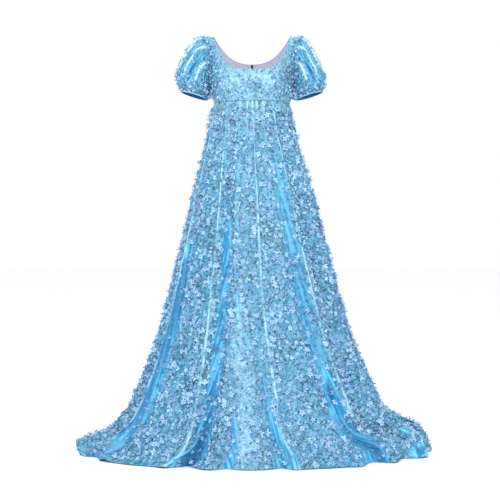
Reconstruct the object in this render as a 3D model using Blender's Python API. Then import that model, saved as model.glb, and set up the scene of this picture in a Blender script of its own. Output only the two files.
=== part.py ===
"""Regency gown: a raised-waist gown with short puffed sleeves, a scooped neck and a gored skirt that spreads
into a train, filled out as it is when worn.

Metres, +Z up. The origin is the middle of the shoulder line, where the wearer's shoulders hold the gown up.
The gown faces -Y, and the wearer's left is +X. An angle round the body is in degrees from the centre front,
positive towards the wearer's left.
"""

import math
from collections import namedtuple

import bmesh
import bpy
import numpy as np
from mathutils import Vector

# Driving sizes of the cut
SHOULDER_TO_FLOOR = 1.458
SHOULDER_TO_WAIST = 0.237
UNDERARM_DROP = 0.184
NECK_HALF = 0.133
CUFF_DEPTH = 0.007

# Necklines: a large curve is squarer, and a large spread gathers the panel's columns towards the straps.
Neck = namedtuple("Neck", "drop curve spread")
FRONT_NECK = Neck(0.130, 4.3, 1.4)
BACK_NECK = Neck(0.083, 2.6, 1.12)

# Cloth
CLOTH = 0.002
LINING = 0.0012
SEAM_GAP = 0.0003
FLOOR_Z = -SHOULDER_TO_FLOOR
WAIST_Z = -SHOULDER_TO_WAIST
MM = 0.001

# Raised flowers of the overlay
FLOWER_RADIUS = 0.011
FLOWER_HEIGHT = 0.005
FLAT_ENOUGH = 0.0018

# Torso of a general figure: half widths and depths at drops below the shoulder line.
TorsoRow = namedtuple("TorsoRow", "drop half_width front_depth back_depth")
TORSO = [
    TorsoRow(0.000, 0.160, 0.000, 0.000),
    TorsoRow(0.020, 0.163, 0.046, 0.044),
    TorsoRow(0.050, 0.163, 0.073, 0.071),
    TorsoRow(0.100, 0.158, 0.103, 0.094),
    TorsoRow(0.130, 0.153, 0.115, 0.100),
    TorsoRow(0.168, 0.147, 0.121, 0.100),
    TorsoRow(0.205, 0.142, 0.117, 0.095),
    TorsoRow(0.237, 0.133, 0.108, 0.090),
]
BUST_OUT = 0.014
BUST_HALF_SPAN = 0.062
BUST_WIDTH = 0.043
BUST_DROP = 0.176
BUST_HEIGHT = 0.031
FRONT_ARM_CUT = 26.0
BACK_ARM_CUT = 21.0
ARM_CURVE = 0.7
NECK_SHARE = 0.78
BACK_COLUMNS = 13
FACING_ROWS = 3
FACING_STOP = 0.02
FACING_GAP = 0.0003
UNDER_SHARE = 1 - math.sqrt(UNDERARM_DROP / SHOULDER_TO_WAIST)

# Skirt: how far each station has dropped from the waist seam and how far it reaches from the axis.
SkirtRow = namedtuple(
    "SkirtRow",
    "share front_drop front_reach left_drop left_reach right_drop right_reach back_drop back_reach",
)
SKIRT = [
    SkirtRow(0.00, 0.000, 0.108, 0.000, 0.133, 0.000, 0.133, 0.000, 0.090),
    SkirtRow(0.08, 0.100, 0.121, 0.100, 0.150, 0.100, 0.153, 0.100, 0.107),
    SkirtRow(0.25, 0.310, 0.154, 0.310, 0.209, 0.310, 0.203, 0.310, 0.150),
    SkirtRow(0.45, 0.560, 0.196, 0.560, 0.273, 0.560, 0.262, 0.555, 0.207),
    SkirtRow(0.65, 0.810, 0.241, 0.810, 0.339, 0.810, 0.320, 0.800, 0.274),
    SkirtRow(0.80, 1.000, 0.276, 0.995, 0.416, 0.995, 0.380, 0.980, 0.350),
    SkirtRow(0.90, 1.115, 0.298, 1.100, 0.470, 1.100, 0.424, 1.090, 0.450),
    SkirtRow(0.96, 1.180, 0.311, 1.154, 0.590, 1.168, 0.490, 1.165, 0.575),
    SkirtRow(1.00, 1.221, 0.319, 1.221, 0.616, 1.221, 0.612, 1.219, 0.680),
]
FLOOR_SOFTNESS = 0.002

# Folds of the skirt, from the centre back round by the wearer's right: the angle of each at the waist, the knee
# and the hem, its width in degrees, and how far it stands out (+) or falls in (-) there, in millimetres.
Fold = namedtuple("Fold", "waist knee hem width waist_out knee_out hem_out")
Station = namedtuple("Station", "share angle out")
FOLDS = [
    Fold(-180, -180, -180, 5.0, -2, -12, -16),
    Fold(-171, -172, -173, 5.0, 2, 8, 10),
    Fold(-161, -163, -164, 5.0, -3, -22, -24),
    Fold(-149, -151, -153, 5.0, 2, 8, 12),
    Fold(-138, -140, -142, 5.5, -3, -22, -26),
    Fold(-127, -129, -131, 5.0, 2, 8, 14),
    Fold(-116, -117, -119, 5.5, -3, -20, -28),
    Fold(-104, -104, -107, 5.0, 2, 8, 18),
    Fold(-93, -92, -102, 5.0, -3, -16, -30),
    Fold(-82, -80, -93, 4.8, 2, 8, 34),
    Fold(-74, -71, -82, 4.0, -2, -10, -24),
    Fold(-66, -64, -74, 3.5, 3, 9, 16),
    Fold(-60, -57, -64, 5.0, -2, -28, -48),
    Fold(-51, -48.5, -54, 3.5, 1, 6, 16),
    Fold(-44, -39, -42, 7.0, 0, 2, 6),
    Fold(-37, -28, -27.5, 3.2, 3, 9, 18),
    Fold(-27, -19, -22, 4.2, -2, -26, -42),
    Fold(-16, -12.2, -14, 3.5, 3, 8, 14),
    Fold(-10, -8.0, -8, 2.4, -1, -2, -18),
    Fold(-5.5, -3.5, -1, 3.5, 1, 2, 6),
    Fold(-2.5, 0.5, 9, 2.6, -1, -4, -26),
    Fold(1.5, 6.5, 13.5, 3.0, 3, 9, 12),
    Fold(8, 15.5, 24, 6.0, -2, -4, 4),
    Fold(16, 25, 35, 3.2, 3, 8, 16),
    Fold(24, 33.5, 43, 5.0, -2, -25, -40),
    Fold(31.5, 42, 50, 3.2, 3, 9, 14),
    Fold(41, 54, 59, 4.5, -2, -14, -28),
    Fold(54, 64, 70, 4.5, 2, 8, 28),
    Fold(67, 75, 80, 4.5, -2, -13, -30),
    Fold(80, 86, 90, 4.8, 2, 8, 20),
    Fold(92, 98, 102, 5.5, -3, -17, -34),
    Fold(104, 109, 114, 6.0, 2, 8, 26),
    Fold(115, 120, 126, 5.0, -3, -20, -20),
    Fold(126, 131, 136, 5.0, 2, 8, 14),
    Fold(138, 141, 143, 5.5, -3, -22, -26),
    Fold(149, 152, 154, 5.0, 2, 8, 12),
    Fold(161, 163, 164, 5.0, -3, -20, -24),
    Fold(171, 172, 173, 5.0, 2, 8, 10),
]
KNEE_SHARE = 0.5

# Gores of the skirt, each from one fold to another, and the rows of points down each.
COLUMNS_A_FOLD = 3
SKIRT_ROWS = [0, 0.05, 0.12, 0.20, 0.28, 0.36, 0.44, 0.52, 0.60, 0.68, 0.76, 0.84, 0.90, 0.945, 0.975, 1.0]
Gore = namedtuple("Gore", "name first last")
GORES = [
    Gore("skirt_back_right", 0, 4),
    Gore("skirt_side_back_right", 4, 8),
    Gore("skirt_side_front_right", 8, 16),
    Gore("skirt_front", 16, 24),
    Gore("skirt_side_front_left", 24, 30),
    Gore("skirt_side_back_left", 30, 34),
    Gore("skirt_back_left", 34, 38),
]

# Sleeve: its underarm point and its outer point in the front view, its half depth, and the height of its gathers.
SleeveRow = namedtuple("SleeveRow", "share under_x under_z outer_x outer_z half_depth gather")
SLEEVE = [
    SleeveRow(0.00, 0.146, -0.184, 0.160, 0.000, 0.052, 0.0),
    SleeveRow(0.08, 0.150, -0.188, 0.172, 0.000, 0.059, 2.5),
    SleeveRow(0.20, 0.151, -0.193, 0.192, -0.009, 0.068, 5.0),
    SleeveRow(0.35, 0.151, -0.199, 0.215, -0.040, 0.076, 6.0),
    SleeveRow(0.50, 0.150, -0.205, 0.237, -0.078, 0.080, 6.0),
    SleeveRow(0.65, 0.149, -0.211, 0.254, -0.116, 0.080, 6.0),
    SleeveRow(0.80, 0.149, -0.216, 0.263, -0.149, 0.077, 6.0),
    SleeveRow(0.92, 0.151, -0.217, 0.258, -0.175, 0.066, 4.0),
    SleeveRow(1.00, 0.154, -0.2155, 0.248, -0.187, 0.055, 1.0),
]
SLEEVE_SHARES = [0, 0.08, 0.22, 0.40, 0.58, 0.75, 0.89, 1.0]
SLEEVE_COLUMNS = 40
SLEEVE_GATHERS = 10
SLEEVE_BLEND = 0.10
SLEEVE_INSET = 0.0004
UNDERARM_GATHER = 0.3
UNDERARM_THINNER = 0.5
LEFT_SLEEVE_OUT = -0.010
RIGHT_SLEEVE_OUT = 0.006

# Concealed zip at the centre back: slider with two ears, and its hanging pull.
SLIDER_WIDTH = 0.0050
SLIDER_HEIGHT = 0.0090
SLIDER_DEPTH = 0.0026
EAR_WIDTH = 0.0010
EAR_HEIGHT = 0.0030
EAR_DEPTH = 0.0036
PULL_WIDTH = 0.0040
PULL_LENGTH = 0.0200
PULL_THICKNESS = 0.0012
BARREL_RADIUS = 0.0011

# Hook-and-eye plate inside the back neck
HOOK_WIDTH = 0.0080
HOOK_HEIGHT = 0.0090
HOOK_DEPTH = 0.0012
HOOK_TOP = 0.0015
HOOK_GAP = 0.0001

MATERIALS = {
    "overlay_cloth": ((0.36, 0.62, 0.83, 1.0), 0.55, 0.0),
    "lining_cloth": ((0.58, 0.55, 0.68, 1.0), 0.80, 0.0),
    "zip_metal": ((0.45, 0.60, 0.72, 1.0), 0.35, 0.9),
}


def column_of(table, name):
    return np.array([getattr(row, name) for row in table], float)


def along(table, name, at, key="share", warp=None):
    """The table's column at each key, on a smooth curve through its rows that never overshoots them."""
    keys, values = column_of(table, key), column_of(table, name)
    if warp:
        keys = warp(keys)
    gaps = np.diff(keys)
    rises = np.diff(values) / gaps
    product = rises[:-1] * rises[1:]
    total = np.where(product > 0, rises[:-1] + rises[1:], 1.0)
    inner = np.where(product > 0, 2 * product / total, 0.0)
    slopes = np.concatenate([rises[:1], inner, rises[-1:]])
    at = np.asarray(at, float)
    row = np.clip(np.searchsorted(keys, at, side="right") - 1, 0, len(gaps) - 1)
    s, gap = (at - keys[row]) / gaps[row], gaps[row]
    return (
        values[row] * (1 + 2 * s) * (1 - s) ** 2
        + slopes[row] * gap * s * (1 - s) ** 2
        + values[row + 1] * s**2 * (3 - 2 * s)
        + slopes[row + 1] * gap * s**2 * (s - 1)
    )


def normals_of(surface, a, b, step_a, step_b):
    """Unit normals of surface(a, b) by central differences, turned by the sign of step_a."""
    across = surface(a + step_a, b) - surface(a - step_a, b)
    up = surface(a, b + step_b) - surface(a, b - step_b)
    normals = np.cross(across, up)
    return normals / np.maximum(np.linalg.norm(normals, axis=-1, keepdims=True), 1e-12)


# Skirt


def skirt_base(angle, share):
    """The skirt without its folds."""
    turn = np.radians(angle)
    sine, cosine = np.sin(turn), np.cos(turn)
    front, back = np.maximum(cosine, 0), np.maximum(-cosine, 0)
    row = {name: along(SKIRT, name, share) for name in SkirtRow._fields[1:]}
    side_reach = np.where(sine > 0, row["left_reach"], row["right_reach"])
    side_drop = np.where(sine > 0, row["left_drop"], row["right_drop"])
    drop = row["front_drop"] * front**2 + side_drop * sine**2 + row["back_drop"] * back**2
    y = row["back_reach"] * back - row["front_reach"] * front
    return np.stack([side_reach * sine, y, WAIST_Z - drop], axis=-1)


def fold_angle(fold, share):
    """The angle at which a fold runs, on a curve through its angles at the waist, the knee and the hem."""
    stations = [Station(0, fold.waist, 0), Station(KNEE_SHARE, fold.knee, 0), Station(1, fold.hem, 0)]
    return along(stations, "angle", share)


def fold_height(angle, share):
    """How far the folds stand out from the base, in metres."""
    height = np.zeros(np.broadcast(angle, share).shape)
    for fold in FOLDS:
        stations = [
            Station(0, 0, fold.waist_out),
            Station(KNEE_SHARE, 0, fold.knee_out),
            Station(1, 0, fold.hem_out),
        ]
        away = (angle - fold_angle(fold, share) + 180) % 360 - 180
        height = height + along(stations, "out", share) * np.exp(-((away / fold.width) ** 2))
    return height * MM


def column_angles(share):
    """Angles of the skirt's columns at each share: one down each fold, the others evenly between two folds."""
    lines = [fold_angle(fold, share) for fold in FOLDS]
    lines.append(lines[0] + 360)
    columns = []
    for line, next_line in zip(lines[:-1], lines[1:]):
        for step in range(COLUMNS_A_FOLD):
            columns.append(line + (next_line - line) * step / COLUMNS_A_FOLD)
    columns.append(lines[-1])
    return np.stack(columns, axis=-1)


def skirt_surface(angle, share):
    """Outer face of the skirt, settled on the floor."""
    points = skirt_base(angle, share)
    normals = -normals_of(skirt_base, angle, share, 0.5, 0.004)
    points = points + normals * fold_height(angle, share)[..., None]
    lift = points[..., 2] - FLOOR_Z - CLOTH
    points[..., 2] = FLOOR_Z + CLOTH + (lift + np.sqrt(lift**2 + FLOOR_SOFTNESS**2)) / 2
    return points


# Bodice


def torso(turn, root, side, depth):
    """A point of the torso: turn in degrees from the centre line, root the square root of the drop."""
    half = along(TORSO, "half_width", root, "drop", np.sqrt)
    reach = along(TORSO, depth, root, "drop", np.sqrt)
    angle = np.radians(turn)
    x, y, z = half * np.sin(angle), reach * np.cos(angle), -(root**2)
    if depth == "front_depth":
        across = (x - BUST_HALF_SPAN) / BUST_WIDTH
        up = (z + BUST_DROP) / BUST_HEIGHT
        y = -(y + BUST_OUT * np.exp(-(across**2) - up**2))
    return np.stack([side * x, y, z], axis=-1)


def arm_turn(reach, cut):
    """The armhole's edge: reach runs from 0 at the shoulder to 1 at the underarm."""
    return 90 - cut * np.sin(np.pi * np.clip(reach, 0, 1)) ** ARM_CURVE


def bodice_path(u, v, neck, cut):
    """Turn and root at u from the centre line to the side, v from the waist seam to the neck and shoulder."""
    waist_root, arm_root = math.sqrt(SHOULDER_TO_WAIST), math.sqrt(UNDERARM_DROP)
    x = NECK_HALF * (1 - (1 - np.minimum(u / NECK_SHARE, 1)) ** neck.spread)
    top_root = np.sqrt(neck.drop * (1 - (x / NECK_HALF) ** neck.curve))
    neck_turn = np.degrees(np.arcsin(x / along(TORSO, "half_width", top_root, "drop", np.sqrt)))
    past_neck = np.maximum(u - NECK_SHARE, 0) / (1 - NECK_SHARE)
    top_turn = neck_turn + (90 - neck_turn) * past_neck
    side_turn = arm_turn(waist_root * (1 - v) / arm_root, cut)
    part = v**2 * top_turn / 90 + (1 - v**2) * u
    turn = 90 * part - (90 - side_turn) * part**3
    root = v * top_root + (1 - v) * waist_root
    return turn, root


def bodice_surface(u, v, side, depth):
    front = depth == "front_depth"
    neck, cut = (FRONT_NECK, FRONT_ARM_CUT) if front else (BACK_NECK, BACK_ARM_CUT)
    turn, root = bodice_path(u, v, neck, cut)
    return torso(turn, root, side, depth)


def torso_normals(points, side, depth, u, v):
    """Outward normals of a half bodice panel. Along a seam they turn the same way as the next panel's."""

    def surface(a, b):
        return bodice_surface(np.clip(a, 0, 1), np.clip(b, 0, 1), side, depth)

    normals = normals_of(surface, np.clip(u, 0.004, 0.996), np.clip(v, 0.004, 0.985), 0.004, 0.004)
    middle = np.array([0.0, 0.0, points[..., 2].mean() - 0.05])
    outward = np.sign(((points - middle) * normals).sum(-1, keepdims=True))
    normals = normals * np.where(outward == 0, 1, outward)
    normals[..., 0] = np.where(u < 1e-6, 0, normals[..., 0])
    normals[..., 1] = np.where((u > 1 - 1e-6) & (v < UNDER_SHARE + 1e-6), 0, normals[..., 1])
    shoulder = (v > 1 - 1e-6) & (u > NECK_SHARE - 1e-6)
    normals = np.where(shoulder[..., None], np.array([0.0, 0.0, 1.0]), normals)
    return normals / np.linalg.norm(normals, axis=-1, keepdims=True)


# Sleeve


def armhole_edge(phi, cut, depth):
    """The armhole edge of a bodice panel, along the straight spans between its rows."""
    rows = bodice_rows()
    roots = (math.sqrt(SHOULDER_TO_WAIST) * (1 - rows[rows > UNDER_SHARE - 1e-9]))[::-1]
    corners = torso(arm_turn(roots / math.sqrt(UNDERARM_DROP), cut), roots, 1, depth)
    root = math.sqrt(UNDERARM_DROP) * np.abs(np.sin(phi / 2))
    return np.stack([np.interp(root, roots, corners[:, k]) for k in range(3)], axis=-1)


def sleeve_surface(degrees, share, side, extra_out):
    """Outer face of a sleeve: degrees run from its outer line round the front, the underarm and the back."""
    phi = np.radians(degrees)
    row = {name: along(SLEEVE, name, np.clip(share, 0, 1)) for name in SleeveRow._fields[1:]}
    bulge = np.sin(np.pi * np.clip(share, 0, 1)) ** 2
    outer_x = row["outer_x"] + extra_out * bulge
    centre_x, centre_z = (outer_x + row["under_x"]) / 2, (row["outer_z"] + row["under_z"]) / 2
    axis_x, axis_z = (outer_x - row["under_x"]) / 2, (row["outer_z"] - row["under_z"]) / 2
    ring = np.stack(
        [
            centre_x + axis_x * np.cos(phi),
            -row["half_depth"] * np.sin(phi),
            centre_z + axis_z * np.cos(phi),
        ],
        axis=-1,
    )
    front = armhole_edge(phi, FRONT_ARM_CUT, "front_depth")
    back = armhole_edge(phi, BACK_ARM_CUT, "back_depth")
    armhole = np.where((np.sin(phi) > 0)[..., None], front, back)
    middle = np.array([0.151, 0.0, -UNDERARM_DROP / 2])
    toward = middle - armhole
    toward[..., 0] = 0
    toward = toward / np.maximum(np.linalg.norm(toward, axis=-1, keepdims=True), 1e-9)
    armhole = armhole + toward * SLEEVE_INSET
    blend = np.clip(share / SLEEVE_BLEND, 0, 1)
    blend = (blend * blend * (3 - 2 * blend))[..., None]
    points = armhole * (1 - blend) + ring * blend
    head = (1 + np.cos(phi)) / 2
    weight = head + (1 - head) * UNDERARM_GATHER * np.clip(share, 0, 1)
    ripple = row["gather"] * MM * weight * np.cos(SLEEVE_GATHERS * phi)
    centre = np.stack([centre_x, 0 * centre_x, centre_z], axis=-1)
    outward = points - centre
    outward = outward / np.linalg.norm(outward, axis=-1, keepdims=True)
    points = points + outward * ripple[..., None]
    points[..., 0] *= side
    return points


# Solids


def material_of(name):
    material = bpy.data.materials.get(name)
    if material is None:
        colour, roughness, metallic = MATERIALS[name]
        material = bpy.data.materials.new(name)
        material.use_nodes = True
        shader = material.node_tree.nodes["Principled BSDF"]
        shader.inputs["Base Color"].default_value = colour
        shader.inputs["Roughness"].default_value = roughness
        shader.inputs["Metallic"].default_value = metallic
    return material


def finish(name, bm, material):
    """Turns the closed bmesh into the named object."""
    bmesh.ops.recalc_face_normals(bm, faces=bm.faces)
    bmesh.ops.triangulate(bm, faces=bm.faces, quad_method="FIXED")
    mesh = bpy.data.meshes.new(name)
    bm.to_mesh(mesh)
    bm.free()
    mesh.shade_smooth()
    mesh.set_sharp_from_angle(angle=math.radians(50))
    mesh.materials.append(material_of(material))
    made = bpy.data.objects.new(name, mesh)
    bpy.context.scene.collection.objects.link(made)
    return made


def raise_flowers(bm, spots):
    """Cuts a small diamond round each outer point that carries a flower and raises its middle."""
    if not spots:
        return
    cut = bmesh.ops.bevel(
        bm,
        geom=spots,
        offset=FLOWER_RADIUS,
        offset_type="OFFSET",
        segments=1,
        profile=0.5,
        affect="VERTICES",
        clamp_overlap=True,
        material=-1,
    )
    small = [face for face in cut["faces"] if face.is_valid]
    bmesh.ops.poke(bm, faces=small, offset=FLOWER_HEIGHT)


def cloth_wall(name, outer, inner, material, ring=False, flowers=None):
    """A closed wall between two grids of points, indexed [row][column]. A ring joins its last column to its first."""
    bm = bmesh.new()
    rows, columns = outer.shape[:2]
    faces = [[[bm.verts.new(Vector(point)) for point in row] for row in grid] for grid in (outer, inner)]
    spans = columns if ring else columns - 1
    for side, grid in enumerate(faces):
        for i in range(rows - 1):
            for j in range(spans):
                k = (j + 1) % columns
                if side == 0 and flowers is not None:
                    bm.faces.new((grid[i][j], grid[i][k], grid[i + 1][k], grid[i + 1][j]))
                else:
                    bm.faces.new((grid[i][j], grid[i][k], grid[i + 1][k]))
                    bm.faces.new((grid[i][j], grid[i + 1][k], grid[i + 1][j]))
    top, under = faces
    for i in (0, rows - 1):
        for j in range(spans):
            k = (j + 1) % columns
            bm.faces.new((top[i][j], top[i][k], under[i][k], under[i][j]))
    if not ring:
        for j in (0, columns - 1):
            for i in range(rows - 1):
                bm.faces.new((top[i][j], top[i + 1][j], under[i + 1][j], under[i][j]))
    bmesh.ops.recalc_face_normals(bm, faces=bm.faces)
    if flowers is not None:
        spots = [top[i][j] for i in range(1, rows - 1) for j in range(columns) if flowers[i][j]]
        raise_flowers(bm, spots)
    return finish(name, bm, material)


def pull_edge(grid, axis, index, distance):
    """Moves one edge of a grid of points towards its neighbouring row or column, by that distance."""
    neighbour = 1 if index == 0 else -2
    edge, next_to = np.take(grid, index, axis=axis), np.take(grid, neighbour, axis=axis)
    way = next_to - edge
    way = way / np.linalg.norm(way, axis=-1, keepdims=True)
    target = [slice(None)] * grid.ndim
    target[axis] = index
    grid[tuple(target)] = edge + way * distance


def spaced_grids(outer, inner, edges):
    """Both grids with half a seam gap taken off each of the named edges, given as (axis, index)."""
    outer, inner = outer.copy(), inner.copy()
    for axis, index in edges:
        for grid in (outer, inner):
            pull_edge(grid, axis, index, SEAM_GAP / 2)
    return outer, inner


def twist_of(grid):
    """How far apart the middles of the two diagonals of each face of a grid lie. A flat face has none."""
    one = (grid[:-1, :-1] + grid[1:, 1:]) / 2
    other = (grid[:-1, 1:] + grid[1:, :-1]) / 2
    return np.linalg.norm(one - other, axis=-1)


def build_skirt():
    share = np.array(SKIRT_ROWS)
    angle = column_angles(share)
    share = np.broadcast_to(share[:, None], angle.shape)
    outer = skirt_surface(angle, share)
    normals = -normals_of(skirt_surface, angle, np.minimum(share, 0.985), 0.6, 0.006)
    inner = outer - normals * CLOTH
    inner[..., 2] = np.clip(inner[..., 2], FLOOR_Z, WAIST_Z)
    height = fold_height(angle, share)
    spacing = np.linalg.norm(np.diff(outer, axis=1, append=outer[:, 1:2]), axis=-1)
    twist = twist_of(outer)
    for gore in GORES:
        first, last = gore.first * COLUMNS_A_FOLD, gore.last * COLUMNS_A_FOLD
        part = slice(first, last + 1)
        out, into = spaced_grids(outer[:, part], inner[:, part], [(0, 0), (1, 0), (1, -1)])
        flowers = np.zeros(out.shape[:2], bool)
        for i in range(3, out.shape[0] - 1):
            for j in range(1, out.shape[1] - 1):
                whole = first + j
                on_panel = height[i, whole] > -0.008
                room = min(spacing[i, whole - 1], spacing[i, whole]) > FLOWER_RADIUS + 0.0005
                flat = twist[i - 1 : i + 1, whole - 1 : whole + 1].max() < FLAT_ENOUGH
                flowers[i, j] = on_panel and room and flat and (whole + i % 2) % 2 == 1
        cloth_wall(gore.name, out, into, "overlay_cloth", flowers=flowers)


def front_columns():
    """Shares across a half front, closer together where the neckline climbs to the shoulder."""
    low, climb = np.linspace(0, 0.6, 9), np.linspace(0.6, NECK_SHARE, 5)
    return np.concatenate([low, climb[1:], np.linspace(NECK_SHARE, 1, 4)[1:]])


def half_bodice(side, depth, columns, rows):
    u, v = np.meshgrid(columns, rows)
    outer = bodice_surface(u, v, side, depth)
    normals = torso_normals(outer, side, depth, u, v)
    return outer, outer - normals * CLOTH


def bodice_rows():
    """Shares from the waist seam to the neck: the side seam takes the first of them, the armhole the rest."""
    return np.concatenate([np.linspace(0, UNDER_SHARE, 3), np.linspace(UNDER_SHARE, 1, 8)[1:]])


def build_bodice():
    rows = bodice_rows()
    left_out, left_in = half_bodice(1, "front_depth", front_columns(), rows)
    right_out, right_in = half_bodice(-1, "front_depth", front_columns(), rows)
    outer = np.concatenate([right_out[:, ::-1], left_out[:, 1:]], axis=1)
    inner = np.concatenate([right_in[:, ::-1], left_in[:, 1:]], axis=1)
    ends = [(0, 0), (0, -1), (1, 0), (1, -1)]
    outer, inner = spaced_grids(outer, inner, ends)
    flowers = np.zeros(outer.shape[:2], bool)
    for i in range(1, outer.shape[0] - 1):
        for j in range(2, outer.shape[1] - 2):
            flowers[i, j] = (j + 2 * (i % 2)) % 4 == 1
    cloth_wall("bodice_front", outer, inner, "overlay_cloth", flowers=flowers)
    for side, word in ((1, "left"), (-1, "right")):
        outer, inner = half_bodice(side, "back_depth", np.linspace(0, 1, BACK_COLUMNS), rows)
        outer, inner = spaced_grids(outer, inner, ends)
        flowers = np.zeros(outer.shape[:2], bool)
        for i in range(1, outer.shape[0] - 1):
            for j in range(2, outer.shape[1] - 2):
                flowers[i, j] = (j + 2 * (i % 2)) % 4 == 0
        cloth_wall(f"bodice_back_{word}", outer, inner, "overlay_cloth", flowers=flowers)


def build_neck_facing():
    """The lining strip inside the back neckline, on each side of the centre-back opening."""
    for side, word in ((1, "left"), (-1, "right")):
        columns = np.linspace(0, 1, BACK_COLUMNS)
        columns = columns[columns < NECK_SHARE - FACING_STOP]
        u, v = np.meshgrid(columns, bodice_rows()[-FACING_ROWS:])
        surface = bodice_surface(u, v, side, "back_depth")
        normals = torso_normals(surface, side, "back_depth", u, v)
        near = surface - normals * (CLOTH + FACING_GAP)
        far = near - normals * LINING
        near, far = spaced_grids(near, far, [(1, 0)])
        cloth_wall(f"neck_facing_{word}", near, far, "lining_cloth")


def build_sleeves():
    degrees = 360 * np.arange(SLEEVE_COLUMNS) / SLEEVE_COLUMNS
    for side, word, extra in ((1, "left", LEFT_SLEEVE_OUT), (-1, "right", RIGHT_SLEEVE_OUT)):

        def surface(a, b, side=side, extra=extra):
            return sleeve_surface(a, b, side, extra)

        angle, share = np.meshgrid(degrees, np.array(SLEEVE_SHARES))
        outer = surface(angle, share)
        normals = normals_of(surface, angle, np.clip(share, 0.012, 0.988), 1.0, 0.012)
        centre = outer.mean(axis=1, keepdims=True)
        normals *= np.sign(((outer - centre) * normals).sum(-1, keepdims=True))
        down = np.array(cuff_axes(side)[1])
        normals[-1] -= (normals[-1] @ down)[:, None] * down
        normals[-1] /= np.linalg.norm(normals[-1], axis=-1, keepdims=True)
        wall = CLOTH * (1 - UNDERARM_THINNER * np.exp(-(((angle - 180) / 30) ** 2)))
        outer, inner = spaced_grids(outer, outer - normals * wall[..., None], [(0, -1)])
        flowers = np.zeros(outer.shape[:2], bool)
        for i in range(2, outer.shape[0] - 1):
            for j in range(outer.shape[1]):
                away = abs((j / SLEEVE_COLUMNS * 360 + 180) % 360 - 180)
                flowers[i, j] = away < 125 and (j + 3 * (i % 2)) % 5 == 0
        cloth_wall(f"sleeve_{word}", outer, inner, "overlay_cloth", ring=True, flowers=flowers)
        build_cuff(word, side)


def cuff_axes(side):
    """Directions of a cuff: across it, from the underarm outwards, and down along the arm."""
    end = SLEEVE[-1]
    across = Vector((side * (end.outer_x - end.under_x), 0, end.outer_z - end.under_z)).normalized()
    down = Vector((side * across.z, 0, -abs(across.x)))
    return across, down


def build_cuff(word, side):
    """The narrow binding that draws in the sleeve's lower edge."""
    end = SLEEVE[-1]
    phi = np.radians(360 * np.arange(SLEEVE_COLUMNS) / SLEEVE_COLUMNS)
    across, down = (np.array(way) for way in cuff_axes(side))
    middle = np.array([side * (end.outer_x + end.under_x) / 2, 0, (end.outer_z + end.under_z) / 2])
    half = math.hypot(end.outer_x - end.under_x, end.outer_z - end.under_z) / 2
    grids = []
    for inset in (0.0, CLOTH):
        ring = middle + np.outer(np.cos(phi) * (half - inset), across)
        ring[:, 1] = -np.sin(phi) * (end.half_depth - inset)
        grids.append(np.stack([ring + down * depth for depth in (SEAM_GAP / 2, CUFF_DEPTH)]))
    cloth_wall(f"cuff_{word}", grids[0], grids[1], "overlay_cloth", ring=True)


def build_neck_hook():
    """The hook-and-eye plate inside the back neck, across the centre-back opening, parallel to the facing."""
    rows = bodice_rows()[-2:][::-1]
    u = np.zeros(2)
    top, lower = bodice_surface(u, rows, 1, "back_depth")
    down = (lower - top) / np.linalg.norm(lower - top)
    inward = np.cross(down, [1.0, 0.0, 0.0])
    inward = inward * -np.sign(inward[1])
    near = top + down * HOOK_TOP + inward * (CLOTH + FACING_GAP + LINING + SEAM_GAP + HOOK_GAP)
    corners = []
    for across in (-HOOK_WIDTH / 2, HOOK_WIDTH / 2):
        for along_down in (0.0, HOOK_HEIGHT):
            for depth in (0.0, HOOK_DEPTH):
                corners.append(near + [across, 0, 0] + down * along_down + inward * depth)
    bm = bmesh.new()
    bmesh.ops.convex_hull(bm, input=[bm.verts.new(Vector(corner)) for corner in corners])
    finish("neck_hook", bm, "zip_metal")


def box(bm, low, high):
    made = bmesh.ops.create_cube(bm, size=1.0)["verts"]
    size = Vector(high) - Vector(low)
    bmesh.ops.scale(bm, vec=size, verts=made)
    bmesh.ops.translate(bm, vec=(Vector(low) + Vector(high)) / 2, verts=made)


def zip_places():
    """The slider's back face, its top, and the pull's pivot, at the top of the centre-back seam."""
    top = -BACK_NECK.drop + 0.0005
    lower, upper = bodice_surface(np.zeros(2), bodice_rows()[-2:], 1, "back_depth")
    cloth = np.interp(top - SLIDER_HEIGHT, [lower[2], upper[2]], [lower[1], upper[1]])
    back = float(cloth) + SEAM_GAP + 0.0003
    pivot = Vector((0, back + SLIDER_DEPTH + EAR_DEPTH - BARREL_RADIUS - 0.0002, top - SLIDER_HEIGHT / 2))
    return back, top, pivot


def build_zip_slider():
    back, top, pivot = zip_places()
    bm = bmesh.new()
    half = SLIDER_WIDTH / 2
    box(bm, (-half, back, top - SLIDER_HEIGHT), (half, back + SLIDER_DEPTH, top))
    base = finish("zip_slider", bm, "zip_metal")
    for word, x in (("a", half - EAR_WIDTH), ("b", -half)):
        ear_mesh = bmesh.new()
        low = (x, back + SLIDER_DEPTH - 0.0008, pivot.z - EAR_HEIGHT / 2)
        box(ear_mesh, low, (x + EAR_WIDTH, back + SLIDER_DEPTH + EAR_DEPTH, pivot.z + EAR_HEIGHT / 2))
        ear = finish(f"ear_cutter_{word}", ear_mesh, "zip_metal")
        ear.hide_render = True
        ear.display_type = "WIRE"
        join = base.modifiers.new(f"ear_{word}", "BOOLEAN")
        join.operation = "UNION"
        join.object = ear


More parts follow.
